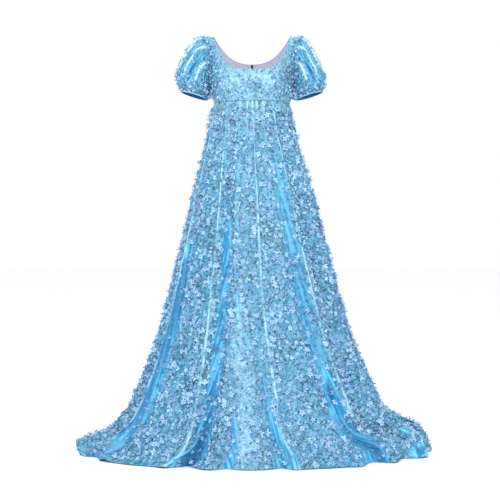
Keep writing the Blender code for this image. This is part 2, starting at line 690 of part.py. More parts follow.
def build_zip_pull():
    """A flat drop-shaped tab with a round barrel between the slider's ears."""
    pivot = zip_places()[2]
    bm = bmesh.new()
    gap = SLIDER_WIDTH - 2 * EAR_WIDTH - 2 * SEAM_GAP
    barrel = bmesh.ops.create_cone(
        bm, cap_ends=True, segments=12, radius1=BARREL_RADIUS, radius2=BARREL_RADIUS, depth=gap
    )["verts"]
    turn = Vector((0, 0, 1)).rotation_difference(Vector((1, 0, 0))).to_matrix()
    bmesh.ops.rotate(bm, matrix=turn, verts=barrel)
    made = finish("zip_pull", bm, "zip_metal")
    made.location = pivot
    tab = bmesh.new()
    neck = gap / 2 - SEAM_GAP
    outline = [(-neck, 0.0), (neck, 0.0)]
    steps = 10
    for step in range(steps + 1):
        swing = math.pi * step / steps
        x = PULL_WIDTH / 2 * math.cos(swing)
        outline.append((x, -PULL_LENGTH + PULL_WIDTH / 2 - PULL_WIDTH / 2 * math.sin(swing)))
    face = tab.faces.new([tab.verts.new((x, -PULL_THICKNESS / 2, z)) for x, z in outline])
    grown = bmesh.ops.extrude_face_region(tab, geom=[face])["geom"]
    bmesh.ops.translate(
        tab, vec=(0, PULL_THICKNESS, 0), verts=[v for v in grown if isinstance(v, bmesh.types.BMVert)]
    )
    blade = finish("pull_blade", tab, "zip_metal")
    blade.location = pivot
    blade.hide_render = True
    blade.display_type = "WIRE"
    join = made.modifiers.new("blade", "BOOLEAN")
    join.operation = "UNION"
    join.object = blade


def main():
    for old in list(bpy.data.objects):
        bpy.data.objects.remove(old)
    build_skirt()
    build_bodice()
    build_neck_facing()
    build_neck_hook()
    build_sleeves()
    build_zip_slider()
    build_zip_pull()


main()
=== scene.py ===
# %% [markdown]
# # A raised-waist gown with puffed sleeves and a train
# The gown is pale blue satin under embroidered net, covered with small five-petalled cloth flowers.
# The frame brings in the plain solids of its panels. This lesson lays finer cloth on their form,
# sews on the flowers, and lights the gown like a studio shot. All lengths are in metres, the gown
# faces -Y, and the origin is the middle of the shoulder line.

import math
from collections import namedtuple

import bmesh
import bpy
import numpy as np
from mathutils import Matrix, Vector


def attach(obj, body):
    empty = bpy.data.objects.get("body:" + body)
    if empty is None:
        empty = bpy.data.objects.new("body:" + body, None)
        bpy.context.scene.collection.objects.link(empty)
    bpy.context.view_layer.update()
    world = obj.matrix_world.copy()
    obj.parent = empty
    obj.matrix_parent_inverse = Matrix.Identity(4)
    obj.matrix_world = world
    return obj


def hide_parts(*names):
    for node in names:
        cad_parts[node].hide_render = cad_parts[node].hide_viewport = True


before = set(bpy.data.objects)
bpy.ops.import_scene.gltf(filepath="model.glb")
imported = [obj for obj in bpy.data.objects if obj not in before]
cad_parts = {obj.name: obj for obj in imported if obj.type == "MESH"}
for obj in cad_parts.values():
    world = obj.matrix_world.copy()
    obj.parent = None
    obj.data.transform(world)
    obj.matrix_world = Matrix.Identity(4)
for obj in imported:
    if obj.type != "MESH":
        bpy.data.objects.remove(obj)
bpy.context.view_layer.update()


def short(values):
    """The same lengths to the millimetre, for printing."""
    return [round(float(value), 3) for value in values]


# %% [markdown]
# ## The sizes of the cut
# Cloth panels are easiest to place with the same few numbers the pattern cutter used: drops from
# the shoulder, widths at each level, and a list of folds. Each table below has named columns, and
# smooth curves join its rows.

# %% Sizes and tables
MM = 0.001
SHOULDER_TO_FLOOR = 1.458
SHOULDER_TO_WAIST = 0.237
UNDERARM_DROP = 0.184
NECK_HALF = 0.133
NECK_SHARE = 0.78
Neck = namedtuple("Neck", "drop curve spread")
FRONT_NECK = Neck(0.130, 4.3, 1.4)
BACK_NECK = Neck(0.083, 2.6, 1.12)
FRONT_ARM_CUT = 26.0
BACK_ARM_CUT = 21.0
ARM_CURVE = 0.7
CLOTH = 0.0014
LIFT = 0.0003
FLOOR_Z = -SHOULDER_TO_FLOOR
WAIST_Z = -SHOULDER_TO_WAIST
UNDER_SHARE = 1 - math.sqrt(UNDERARM_DROP / SHOULDER_TO_WAIST)


def table(columns, *rows):
    """A list of rows whose columns have names."""
    kind = namedtuple("Row", columns)
    return [kind(*row) for row in rows]


TORSO = table(
    "drop half_width front_depth back_depth",
    (0.000, 0.160, 0.000, 0.000),
    (0.020, 0.163, 0.046, 0.044),
    (0.050, 0.163, 0.073, 0.071),
    (0.100, 0.158, 0.103, 0.094),
    (0.130, 0.153, 0.115, 0.100),
    (0.168, 0.147, 0.121, 0.100),
    (0.205, 0.142, 0.117, 0.095),
    (0.237, 0.133, 0.108, 0.090),
)
BUST_OUT = 0.014
BUST_HALF_SPAN = 0.062
BUST_WIDTH = 0.043
BUST_DROP = 0.176
BUST_HEIGHT = 0.031

SKIRT = table(
    "share front_drop front_reach left_drop left_reach right_drop right_reach back_drop back_reach",
    (0.00, 0.000, 0.108, 0.000, 0.133, 0.000, 0.133, 0.000, 0.090),
    (0.08, 0.100, 0.121, 0.100, 0.150, 0.100, 0.153, 0.100, 0.107),
    (0.25, 0.310, 0.154, 0.310, 0.209, 0.310, 0.203, 0.310, 0.150),
    (0.45, 0.560, 0.196, 0.560, 0.273, 0.560, 0.262, 0.555, 0.207),
    (0.65, 0.810, 0.241, 0.810, 0.339, 0.810, 0.320, 0.800, 0.274),
    (0.80, 1.000, 0.276, 0.995, 0.416, 0.995, 0.380, 0.980, 0.350),
    (0.90, 1.115, 0.298, 1.100, 0.470, 1.100, 0.424, 1.090, 0.450),
    (0.96, 1.180, 0.311, 1.154, 0.590, 1.168, 0.490, 1.165, 0.575),
    (1.00, 1.221, 0.319, 1.221, 0.616, 1.221, 0.612, 1.219, 0.680),
)
FLOOR_SOFTNESS = 0.002

FOLDS = table(
    "waist knee hem width waist_out knee_out hem_out",
    (-180, -180, -180, 5.0, -2, -12, -16),
    (-171, -172, -173, 5.0, 2, 8, 10),
    (-161, -163, -164, 5.0, -3, -22, -24),
    (-149, -151, -153, 5.0, 2, 8, 12),
    (-138, -140, -142, 5.5, -3, -22, -26),
    (-127, -129, -131, 5.0, 2, 8, 14),
    (-116, -117, -119, 5.5, -3, -20, -28),
    (-104, -104, -107, 5.0, 2, 8, 18),
    (-93, -92, -102, 5.0, -3, -16, -30),
    (-82, -80, -93, 4.8, 2, 8, 34),
    (-74, -71, -82, 4.0, -2, -10, -24),
    (-66, -64, -74, 3.5, 3, 9, 16),
    (-60, -57, -64, 5.0, -2, -28, -48),
    (-51, -48.5, -54, 3.5, 1, 6, 16),
    (-44, -39, -42, 7.0, 0, 2, 6),
    (-37, -28, -27.5, 3.2, 3, 9, 18),
    (-27, -19, -22, 4.2, -2, -26, -42),
    (-16, -12.2, -14, 3.5, 3, 8, 14),
    (-10, -8.0, -8, 2.4, -1, -2, -18),
    (-5.5, -3.5, -1, 3.5, 1, 2, 6),
    (-2.5, 0.5, 9, 2.6, -1, -4, -26),
    (1.5, 6.5, 13.5, 3.0, 3, 9, 12),
    (8, 15.5, 24, 6.0, -2, -4, 4),
    (16, 25, 35, 3.2, 3, 8, 16),
    (24, 33.5, 43, 5.0, -2, -25, -40),
    (31.5, 42, 50, 3.2, 3, 9, 14),
    (41, 54, 59, 4.5, -2, -14, -28),
    (54, 64, 70, 4.5, 2, 8, 28),
    (67, 75, 80, 4.5, -2, -13, -30),
    (80, 86, 90, 4.8, 2, 8, 20),
    (92, 98, 102, 5.5, -3, -17, -34),
    (104, 109, 114, 6.0, 2, 8, 26),
    (115, 120, 126, 5.0, -3, -20, -20),
    (126, 131, 136, 5.0, 2, 8, 14),
    (138, 141, 143, 5.5, -3, -22, -26),
    (149, 152, 154, 5.0, 2, 8, 12),
    (161, 163, 164, 5.0, -3, -20, -24),
    (171, 172, 173, 5.0, 2, 8, 10),
)
KNEE_SHARE = 0.5
CREST_OUT = 2.2
CREST_WIDTH = 1.0
BARE_WIDTH = 1.5
CREST_WANDER = 0.35
BRIGHT_CREST = 8.5
BACK_CREST = 7.5
BACK_FROM = 100
SEAM_DIP = 2.0
TRAIN_CRUMPLE = 6.0
GATHERS = 72
SEAM_FADE = 0.004
HEM_INSET = 0.985
GATHER_OUT = 1.2
GATHER_FADE = 0.06
WAIST_CREASE_OUT = 2.2
WAIST_CREASE_FADE = 0.09
STRIP_FADE = 0.40

GORES = table(
    "name first last columns",
    ("skirt_back_right", 0, 4, 10),
    ("skirt_side_back_right", 4, 8, 10),
    ("skirt_side_front_right", 8, 16, 12),
    ("skirt_front", 16, 24, 12),
    ("skirt_side_front_left", 24, 30, 12),
    ("skirt_side_back_left", 30, 34, 10),
    ("skirt_back_left", 34, 38, 10),
)

SLEEVE = table(
    "share under_x under_z outer_x outer_z half_depth gather",
    (0.00, 0.146, -0.184, 0.160, 0.000, 0.052, 0.0),
    (0.08, 0.150, -0.188, 0.172, 0.000, 0.059, 2.5),
    (0.20, 0.151, -0.193, 0.192, -0.009, 0.068, 5.0),
    (0.35, 0.151, -0.199, 0.215, -0.040, 0.076, 6.0),
    (0.50, 0.150, -0.205, 0.237, -0.078, 0.080, 6.0),
    (0.65, 0.149, -0.211, 0.254, -0.116, 0.080, 6.0),
    (0.80, 0.149, -0.216, 0.263, -0.149, 0.077, 6.0),
    (0.92, 0.151, -0.217, 0.258, -0.175, 0.066, 4.0),
    (1.00, 0.154, -0.2155, 0.248, -0.187, 0.055, 1.0),
)
SLEEVE_GATHERS = 10

SLEEVE_FOLDS = table(
    "head cuff width out",
    (10, 9, 4.5, 3.0),
    (22, 19, 4.5, -8.0),
    (34, 29, 5.0, 9.0),
    (47, 41, 5.0, -10.0),
    (60, 54, 5.5, 9.0),
    (76, 72, 6.0, -8.0),
    (94, 98, 7.0, 5.0),
    (-20, -26, 6.0, 4.0),
    (-34, -44, 6.0, -5.0),
    (-50, -62, 6.5, 6.0),
    (-66, -80, 6.5, -5.5),
    (-84, -98, 7.0, 5.0),
)
SLEEVE_BLEND = 0.10
UNDERARM_GATHER = 0.3
LEFT_SLEEVE_OUT = -0.010
RIGHT_SLEEVE_OUT = 0.006
print("folds", len(FOLDS), "gores", len(GORES))

# %% [markdown]
# ## Curves through the tables
# A table gives a size at a few levels only. A monotone cubic joins them without the bulges that an
# ordinary spline adds between close rows, so a hip never grows where the pattern has none. Bells
# and straight ramps, used all through the lesson, fade one thing into another.

# %% Curves


def column_of(rows, name):
    return np.array([getattr(row, name) for row in rows], float)


def along(rows, name, at, key="share", warp=None):
    """One column of a table, joined smoothly and read at these places of its key column."""
    keys, values = column_of(rows, key), column_of(rows, name)
    if warp:
        keys = warp(keys)
    gaps = np.diff(keys)
    rises = np.diff(values) / gaps
    product = rises[:-1] * rises[1:]
    total = np.where(product > 0, rises[:-1] + rises[1:], 1.0)
    inner = np.where(product > 0, 2 * product / total, 0.0)
    slopes = np.concatenate([rises[:1], inner, rises[-1:]])
    at = np.asarray(at, float)
    row = np.clip(np.searchsorted(keys, at, side="right") - 1, 0, len(gaps) - 1)
    s, gap = (at - keys[row]) / gaps[row], gaps[row]
    return (
        values[row] * (1 + 2 * s) * (1 - s) ** 2
        + slopes[row] * gap * s * (1 - s) ** 2
        + values[row + 1] * s**2 * (3 - 2 * s)
        + slopes[row + 1] * gap * s**2 * (s - 1)
    )


def normals_of(surface, a, b, step_a, step_b):
    across = surface(a + step_a, b) - surface(a - step_a, b)
    up = surface(a, b + step_b) - surface(a, b - step_b)
    normals = np.cross(across, up)
    return normals / np.maximum(np.linalg.norm(normals, axis=-1, keepdims=True), 1e-12)


def unit(vectors):
    return vectors / np.linalg.norm(vectors, axis=-1, keepdims=True)


def bell(distance, width, power=2):
    """1 in the middle, fading to 0 on both sides; a higher power gives a flatter top."""
    return np.exp(-((distance / width) ** power))


def rising(value, start, over):
    """0 up to the start, then straight up to 1."""
    return np.clip((value - start) / over, 0, 1)


def falling(value, end, over):
    """1 at first, then straight down to 0 at the end."""
    return np.clip((end - value) / over, 0, 1)


def smooth(share):
    return share * share * (3 - 2 * share)


def apart(degrees, other):
    """The signed angle from one direction to another, the short way round."""
    return (degrees - other + 180) % 360 - 180


SPOT = "across down half_across half_down strength"


def near_spot(spot, across, down):
    """1 in the middle of an oval spot, fading to 0 around it."""
    a, b = (across - spot.across) / spot.half_across, (down - spot.down) / spot.half_down
    return np.exp(-(a**2 + b**2))


Level = namedtuple("Level", "share value")


def three_levels(waist, knee, hem, share):
    """A value known at the waist, the knee and the hem, and joined smoothly between them."""
    return along([Level(0, waist), Level(KNEE_SHARE, knee), Level(1, hem)], "value", share)


print("half the waist's width", along(TORSO, "half_width", SHOULDER_TO_WAIST, "drop"))

# %% [markdown]
# ## The skirt's form
# A skirt hangs from the waist seam as a cone that turns into a train on the floor. Its folds could
# be simulated, but then they fall somewhere new each time. Here each fold has its own row in the
# table, so the deep channels and the sharp crests beside them stay where the maker arranged them.
# Fine gathers and creases are waves, whose numbers count the waves round the waist and down the
# skirt.

# %% Skirt surface
ANGLE_STEP = 0.5
SHARE_STEP = 0.004


def skirt_base(angle, share):
    turn = np.radians(angle)
    sine, cosine = np.sin(turn), np.cos(turn)
    front, back = np.maximum(cosine, 0), np.maximum(-cosine, 0)
    row = {name: along(SKIRT, name, share) for name in SKIRT[0]._fields[1:]}
    side_reach = np.where(sine > 0, row["left_reach"], row["right_reach"])
    side_drop = np.where(sine > 0, row["left_drop"], row["right_drop"])
    drop = row["front_drop"] * front**2 + side_drop * sine**2 + row["back_drop"] * back**2
    y = row["back_reach"] * back - row["front_reach"] * front
    return np.stack([side_reach * sine, y, WAIST_Z - drop], axis=-1)


def fold_angle(fold, share):
    return three_levels(fold.waist, fold.knee, fold.hem, share)


def fold_shapes(angle, share):
    """Height of the main folds, how near a point is to a crest, and a wider strip bare of flowers."""
    height = np.zeros(np.broadcast(angle, share).shape)
    crest, bare = np.zeros_like(height), np.zeros_like(height)
    for number, fold in enumerate(FOLDS):
        away = apart(angle, fold_angle(fold, share))
        out = three_levels(fold.waist_out, fold.knee_out, fold.hem_out, share)
        height = height + out * bell(away, fold.width)
        if fold.knee_out > (BACK_CREST if abs(fold.knee) > BACK_FROM else BRIGHT_CREST):
            wander = away - CREST_WANDER * np.sin(13 * share + 2 * number) * rising(share, 0, 0.2)
            # the crests' height and their painted highlight vary along each fold
            crest_strength = 0.95 + 0.22 * np.sin(17 * share + 4 * number) + 0.1 * np.sin(43 * share)
            crest = np.maximum(crest, np.clip(crest_strength, 0.5, 1.15) * bell(wander, CREST_WIDTH))
            bare = np.maximum(bare, bell(wander, BARE_WIDTH * (2.2 - 1.2 * share)))
    return height, crest, bare


def waist_creases(angle, share, fade=WAIST_CREASE_FADE):
    turn = np.radians(angle)
    return np.exp(-share / fade) * (0.5 + 0.5 * np.cos(38 * turn + 2 * np.sin(9 * turn)))


def small_folds(angle, share):
    """Height in millimetres of the gathers, the creases and the crumpled train."""
    turn = np.radians(angle)
    gathers = GATHER_OUT * np.exp(-share / GATHER_FADE) * np.cos(GATHERS * turn + 2 * np.sin(5 * turn))
    long_creases = np.sin(17 * turn + 3 * share) * np.sin(9 * turn - 5 * share + 1)
    short_creases = np.sin(41 * turn + 6 * share + 2 * np.sin(7 * share))
    short_creases = short_creases * np.sin(4 * share + 11 * turn)
    fade = rising(share, 0, 0.15) * falling(share, 1, 0.05)
    train = rising(share, 0.86, 0.08) * rising(np.abs(angle), 60, 20)
    crumple = TRAIN_CRUMPLE * train * np.sin(29 * turn + 20 * share) * np.sin(13 * turn - 55 * share)
    drawn = WAIST_CREASE_OUT * waist_creases(angle, share) * rising(share, 0, 0.02)
    return gathers + drawn + crumple + fade * (1.3 * long_creases + 0.9 * short_creases)


def skirt_surface(angle, share):
    points = skirt_base(angle, share)
    normals = -normals_of(skirt_base, angle, share, ANGLE_STEP, SHARE_STEP)
    height, crest, _ = fold_shapes(angle, share)
    height = height + small_folds(angle, share) + CREST_OUT * crest * rising(share, 0, 0.1)
    height = height - SEAM_DIP * np.exp(-share / SEAM_FADE)
    points = points + normals * (height * MM + LIFT)[..., None]
    lift = points[..., 2] - FLOOR_Z - CLOTH - LIFT
    points[..., 2] = FLOOR_Z + CLOTH + LIFT + (lift + np.sqrt(lift**2 + FLOOR_SOFTNESS**2)) / 2
    points[..., 2] = np.minimum(points[..., 2], WAIST_Z)
    return points


def gore_angles(gore, share):
    lines = [fold_angle(fold, share) for fold in FOLDS]
    lines.append(lines[0] + 360)
    columns = []
    for number in range(gore.first, gore.last):
        for step in range(gore.columns):
            columns.append(lines[number] + (lines[number + 1] - lines[number]) * step / gore.columns)
    columns.append(lines[gore.last])
    return np.stack(columns, axis=-1)


# %% [markdown]
# ## The bodice's form
# The bodice is cut in a front and two backs. Each panel runs from the waist seam up to the neckline
# and the shoulder seam, and from the centre round to the side seam and armhole. Soft cups push the
# front out.

# %% Bodice surface
PANEL_STEP = 0.004
BELOW_MIDDLE = 0.05
EDGE = 1e-6


def torso(turn, root, side, depth):
    half = along(TORSO, "half_width", root, "drop", np.sqrt)
    reach = along(TORSO, depth, root, "drop", np.sqrt)
    angle = np.radians(turn)
    x, y, z = half * np.sin(angle), reach * np.cos(angle), -(root**2)
    if depth == "front_depth":
        across = (x - BUST_HALF_SPAN) / BUST_WIDTH
        up = (z + BUST_DROP) / BUST_HEIGHT
        y = -(y + BUST_OUT * np.exp(-(across**2) - up**2))
    return np.stack([side * x, y, z], axis=-1)


def arm_turn(reach, cut):
    return 90 - cut * np.sin(np.pi * np.clip(reach, 0, 1)) ** ARM_CURVE


def bodice_surface(u, v, side, depth):
    front = depth == "front_depth"
    neck, cut = (FRONT_NECK, FRONT_ARM_CUT) if front else (BACK_NECK, BACK_ARM_CUT)
    waist_root, arm_root = math.sqrt(SHOULDER_TO_WAIST), math.sqrt(UNDERARM_DROP)
    x = NECK_HALF * (1 - (1 - np.minimum(u / NECK_SHARE, 1)) ** neck.spread)
    top_root = np.sqrt(neck.drop * (1 - (x / NECK_HALF) ** neck.curve))
    neck_turn = np.degrees(np.arcsin(x / along(TORSO, "half_width", top_root, "drop", np.sqrt)))
    past_neck = np.maximum(u - NECK_SHARE, 0) / (1 - NECK_SHARE)
    top_turn = neck_turn + (90 - neck_turn) * past_neck
    side_turn = arm_turn(waist_root * (1 - v) / arm_root, cut)
    part = v**2 * top_turn / 90 + (1 - v**2) * u
    turn = 90 * part - (90 - side_turn) * part**3
    return torso(turn, v * top_root + (1 - v) * waist_root, side, depth)


def bodice_normals(points, u, v, side, depth):
    def surface(a, b):
        return bodice_surface(np.clip(a, 0, 1), np.clip(b, 0, 1), side, depth)

    inner_u, inner_v = np.clip(u, PANEL_STEP, 1 - PANEL_STEP), np.clip(v, PANEL_STEP, HEM_INSET)
    normals = normals_of(surface, inner_u, inner_v, PANEL_STEP, PANEL_STEP)
    middle = np.array([0.0, 0.0, points[..., 2].mean() - BELOW_MIDDLE])
    outward = np.sign(((points - middle) * normals).sum(-1, keepdims=True))
    normals = normals * np.where(outward == 0, 1, outward)
    normals[..., 0] = np.where(u < EDGE, 0, normals[..., 0])
    normals[..., 1] = np.where((u > 1 - EDGE) & (v < UNDER_SHARE + EDGE), 0, normals[..., 1])
    shoulder = (v > 1 - EDGE) & (u > NECK_SHARE - EDGE)
    normals = np.where(shoulder[..., None], np.array([0.0, 0.0, 1.0]), normals)
    return unit(normals)


# %% [markdown]
# ## The sleeve's form
# A puffed sleeve is cut much wider than the armhole and the cuff, and gathered into both. Rings
# from the armhole to the cuff carry it, and ripples that start at the head of the sleeve are its
# gathers.

# %% Sleeve surface

SLEEVE_CREST_WIDTH = 4.2


def armhole_edge(phi, cut, depth):
    reach = np.abs(np.sin(phi / 2))
    return torso(arm_turn(reach, cut), math.sqrt(UNDERARM_DROP) * reach, 1, depth)


def sleeve_folds(degrees, share):
    """Height of the large folds that fall from the sleeve head, and how near a crest is."""
    height = np.zeros(np.broadcast(degrees, share).shape)
    crest = np.zeros_like(height)
    strength = np.sin(np.pi * np.clip(share, 0, 1) ** 0.7) ** 0.7
    for fold in SLEEVE_FOLDS:
        away = apart(degrees, fold.head + (fold.cuff - fold.head) * share)
        height = height + fold.out * strength * bell(away, fold.width)
        if fold.out > 0:
            crest = np.maximum(crest, bell(away, SLEEVE_CREST_WIDTH) * strength)
    return height, crest * falling(share, 0.9, 0.3)


def sleeve_surface(degrees, share, side, extra_out):
    phi, held = np.radians(degrees), np.clip(share, 0, 1)
    row = {name: along(SLEEVE, name, held) for name in SLEEVE[0]._fields[1:]}
    outer_x = row["outer_x"] + extra_out * np.sin(np.pi * held) ** 2
    centre_x, centre_z = (outer_x + row["under_x"]) / 2, (row["outer_z"] + row["under_z"]) / 2
    axis_x, axis_z = (outer_x - row["under_x"]) / 2, (row["outer_z"] - row["under_z"]) / 2
    x, z = centre_x + axis_x * np.cos(phi), centre_z + axis_z * np.cos(phi)
    ring = np.stack([x, -row["half_depth"] * np.sin(phi), z], axis=-1)
    front = armhole_edge(phi, FRONT_ARM_CUT, "front_depth")
    back = armhole_edge(phi, BACK_ARM_CUT, "back_depth")
    armhole = np.where((np.sin(phi) > 0)[..., None], front, back)
    joined = smooth(rising(share, 0, SLEEVE_BLEND))[..., None]
    points = armhole * (1 - joined) + ring * joined
    head = (1 + np.cos(phi)) / 2
    weight = head + (1 - head) * UNDERARM_GATHER * held
    main = row["gather"] * weight * np.cos(SLEEVE_GATHERS * phi)
    fine = 1.6 * np.sin(np.pi * held) * np.cos(23 * phi + 3 * np.sin(3 * share + 2 * phi))
    ends = np.exp(-np.abs(share) / 0.06) + np.exp(-np.abs(1 - share) / 0.07)
    pinched = 1.2 * ends * np.cos(34 * phi)
    low = rising(share, 0.35, 0.3) * falling(share, 1, 0.1)
    crumple = 2.2 * low * np.sin(13 * phi + 9 * share) * np.sin(7 * phi - 17 * share + 1)
    centre = np.stack([centre_x, 0 * centre_x, centre_z], axis=-1)
    outward = unit(points - centre)
    folds = sleeve_folds(degrees, share)[0]
    points = points + outward * ((0.4 * main + folds + fine + pinched + crumple) * MM)[..., None]
    points[..., 0] *= side
    return points


# %% [markdown]
# ## Laying cloth on a form
# A panel starts as what it is on the cutting table: a flat grid. Each point of the grid then moves
# to its place on the worn form, and the sheet gets its thickness inwards. The grid's own lengths,
# measured along its threads, become the UV map, so the embroidery keeps its size wherever the cloth
# goes. Three numbers stay with each point, and the finish paints shade and highlights from them: how
# deep it lies in a fold, how near it is to a crest or to painted light, and whether it is on the
# inside.

# %% Cloth maker
MERGE_DISTANCE = 1e-5
SHARP_CLOTH = math.radians(60)
Laid = namedtuple("Laid", "piece points normals fold bare size")
laid_panels = {}


def flat_lengths(points):
    """Distances across and down the panel, in metres, along its own threads."""
    across = np.linalg.norm(np.diff(points, axis=1), axis=-1)
    down = np.linalg.norm(np.diff(points, axis=0), axis=-1)
    s = np.concatenate([np.zeros((points.shape[0], 1)), np.cumsum(across, axis=1)], axis=1)
    s = s - s[:, s.shape[1] // 2][:, None]
    t = np.concatenate([np.zeros((1, points.shape[1])), np.cumsum(down, axis=0)], axis=0)
    return s, t


def edges_on(verts):
    """Boundary edges with both ends among these points."""
    found = {edge for vert in verts for edge in vert.link_edges if edge.is_boundary}
    return [edge for edge in found if edge.verts[0] in verts and edge.verts[1] in verts]


def new_object(name, data):
    made = bpy.data.objects.new(name, data)
    bpy.context.scene.collection.objects.link(made)
    return made


def everything(bm):
    return bm.verts[:] + bm.edges[:] + bm.faces[:]


def lay_cloth(
    panel, points, normals, material,
    fold=0, crest=0, bare=0, ring=False, slot="overlay_cloth", thickness=CLOTH,
):
    """A sheet of cloth through a grid of points, [row][column], with its thickness turned inwards."""
    rows, columns = points.shape[:2]
    fold, crest, bare = (np.broadcast_to(value, (rows, columns)) for value in (fold, crest, bare))
    s, t = flat_lengths(points)
    bm = bmesh.new()
    bmesh.ops.create_grid(bm, x_segments=columns - 1, y_segments=rows - 1, size=0.5)
    flat = np.array([vert.co[:2] for vert in bm.verts])
    column = np.rint((flat[:, 0] + 0.5) * (columns - 1)).astype(int)
    row = np.rint((0.5 - flat[:, 1]) * (rows - 1)).astype(int)
    deep, ridge, inside = (bm.verts.layers.float.new(word) for word in ("fold", "crest", "inside"))
    uv = bm.loops.layers.uv.new("cloth")
    for vert, i, j in zip(bm.verts, row, column):
        vert.co = points[i, j]
        vert.normal = normals[i, j]
        vert[deep] = fold[i, j]
        vert[ridge] = crest[i, j]
    for face in bm.faces:
        for loop in face.loops:
            i, j = row[loop.vert.index], column[loop.vert.index]
            loop[uv].uv = (s[i, j], -t[i, j])
    outer = list(bm.verts)
    ends = [{outer[k] for k in np.flatnonzero(row == number)} for number in (0, rows - 1)]
    middle = bm.faces[:][len(bm.faces) // 2]
    middle.normal_update()
    near = middle.verts[0].index
    if np.dot(normals[row[near], column[near]], np.array(middle.normal)) < 0:
        bmesh.ops.reverse_faces(bm, faces=bm.faces)
    pairs = bmesh.ops.duplicate(bm, geom=everything(bm))["vert_map"]
    for vert, i, j in zip(outer, row, column):
        pairs[vert].co = points[i, j] - normals[i, j] * thickness
        pairs[vert][inside] = 1.0
    inner = {pairs[vert] for vert in outer}
    bmesh.ops.reverse_faces(bm, faces=[face for face in bm.faces if face.verts[0] in inner])
    if ring:
        for end in ends:
            bmesh.ops.bridge_loops(bm, edges=edges_on(end | {pairs[vert] for vert in end}))
        bmesh.ops.remove_doubles(bm, verts=bm.verts, dist=MERGE_DISTANCE)
    else:
        bmesh.ops.bridge_loops(bm, edges=[edge for edge in bm.edges if edge.is_boundary])
    bmesh.ops.recalc_face_normals(bm, faces=bm.faces)
    mesh = bpy.data.meshes.new(panel + "_cloth")
    bm.to_mesh(mesh)
    bm.free()
    mesh.shade_smooth()
    mesh.set_sharp_from_angle(angle=SHARP_CLOTH)
    mesh.materials.append(material)
    piece = new_object(panel + "_cloth", mesh)
    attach(piece, "gown")
    size = (float(np.ptp(s, axis=1).max()), float(t.max()))
    laid_panels[panel] = Laid(piece, points, normals, fold, bare, size)


# %% [markdown]
# ## The finishes
# Satin under embroidered net reads as one cloth: deep blue where it falls into a fold and no
# flowers cover it, partly the satin's own blue and partly painted shade, and pale where its sprays
# of embroidered leaves lie and where painted highlights and painted light are mixed in. The node
# trees below mix those colours by the numbers kept on the cloth, and draw the embroidery as one
# sprig in each cell of an uneven net.

# %% Node helpers


class Finish:
    """A material being mixed, with a short call for each kind of node that it needs."""

    def __init__(self, name, **sockets):
        self.material = bpy.data.materials.new(name)
        self.material.use_nodes = True
        self.tree = self.material.node_tree
        self.shader = self.tree.nodes["Principled BSDF"]
        self.fill(self.shader, {socket.replace("_", " "): value for socket, value in sockets.items()})

    def fill(self, made, inputs):
        for socket, value in dict(inputs).items():
            if isinstance(value, bpy.types.NodeSocket):
                self.tree.links.new(value, made.inputs[socket])
            else:
                made.inputs[socket].default_value = value

    def node(self, kind, inputs=(), **settings):
        made = self.tree.nodes.new("ShaderNode" + kind)
        for key, value in settings.items():
            setattr(made, key, value)
        self.fill(made, inputs)
        return made.outputs

    def maths(self, operation, a, b=0.0, clamp=False):
        return self.node("Math", {0: a, 1: b}, operation=operation, use_clamp=clamp)[0]

    def times(self, a, b):
        return self.maths("MULTIPLY", a, b)

    def blend(self, share, low, high):
        return self.node("Mix", {"Factor": share, 6: low, 7: high}, data_type="RGBA")[2]

    def ramp(self, value, low, high):
        inputs = {"Value": value, "From Min": low, "From Max": high}
        return self.node("MapRange", inputs, interpolation_type="SMOOTHSTEP")[0]

    def noise(self, place, scale, detail=2.0):
        return self.node("TexNoise", {"Vector": place, "Scale": scale, "Detail": detail})["Fac"]

    def stored(self, name):
        return self.node("Attribute", attribute_name=name)["Fac"]

    def done(self, colour, height, strength, distance):
        bump = self.node("Bump", {"Height": height, "Strength": strength, "Distance": distance})[0]
        self.fill(self.shader, {"Base Color": colour, "Normal": bump})
        print("material", self.material.name, len(self.tree.nodes), "nodes")
        return self.material


# %% [markdown]
# ## Satin and net
# Satin shows its depth by colour more than by shape, and here that colour is painted shade and light.
# Deep folds are mixed towards a strong blue, partly the bare satin's own and partly painted shade,
# with long streaks of painted sheen; crests towards a painted pale gleam; and the flat cloth between
# them towards the grey-blue of net, flecked with painted shadow.

# %% Satin and net
# The gap, deep and sky blues paint shade and sheen in the folds, the shade blue paints shadow flecks,
# the crest and gleam blues paint highlights, and the inside blue paints shade on the inner side. The
# satin, net and thread blues are the cloth's own.
GAP_SHADE_BLUE = (0.006, 0.100, 0.260, 1)
DEEP_BLUE = (0.012, 0.260, 0.540, 1)
SKY_BLUE = (0.150, 0.590, 0.860, 1)
SATIN_BLUE = (0.060, 0.330, 0.500, 1)
NET_BLUE = (0.050, 0.185, 0.270, 1)
THREAD_BLUE = (0.170, 0.430, 0.600, 1)
SHADE_BLUE = (0.010, 0.050, 0.100, 1)
CREST_HIGHLIGHT_BLUE = (0.400, 0.700, 0.860, 1)
GLEAM_BLUE = (0.680, 0.870, 0.950, 1)
INSIDE_SHADE_BLUE = (0.035, 0.190, 0.430, 1)
LARGE_SPRIG = 0.016
SMALL_SPRIG = 0.0075


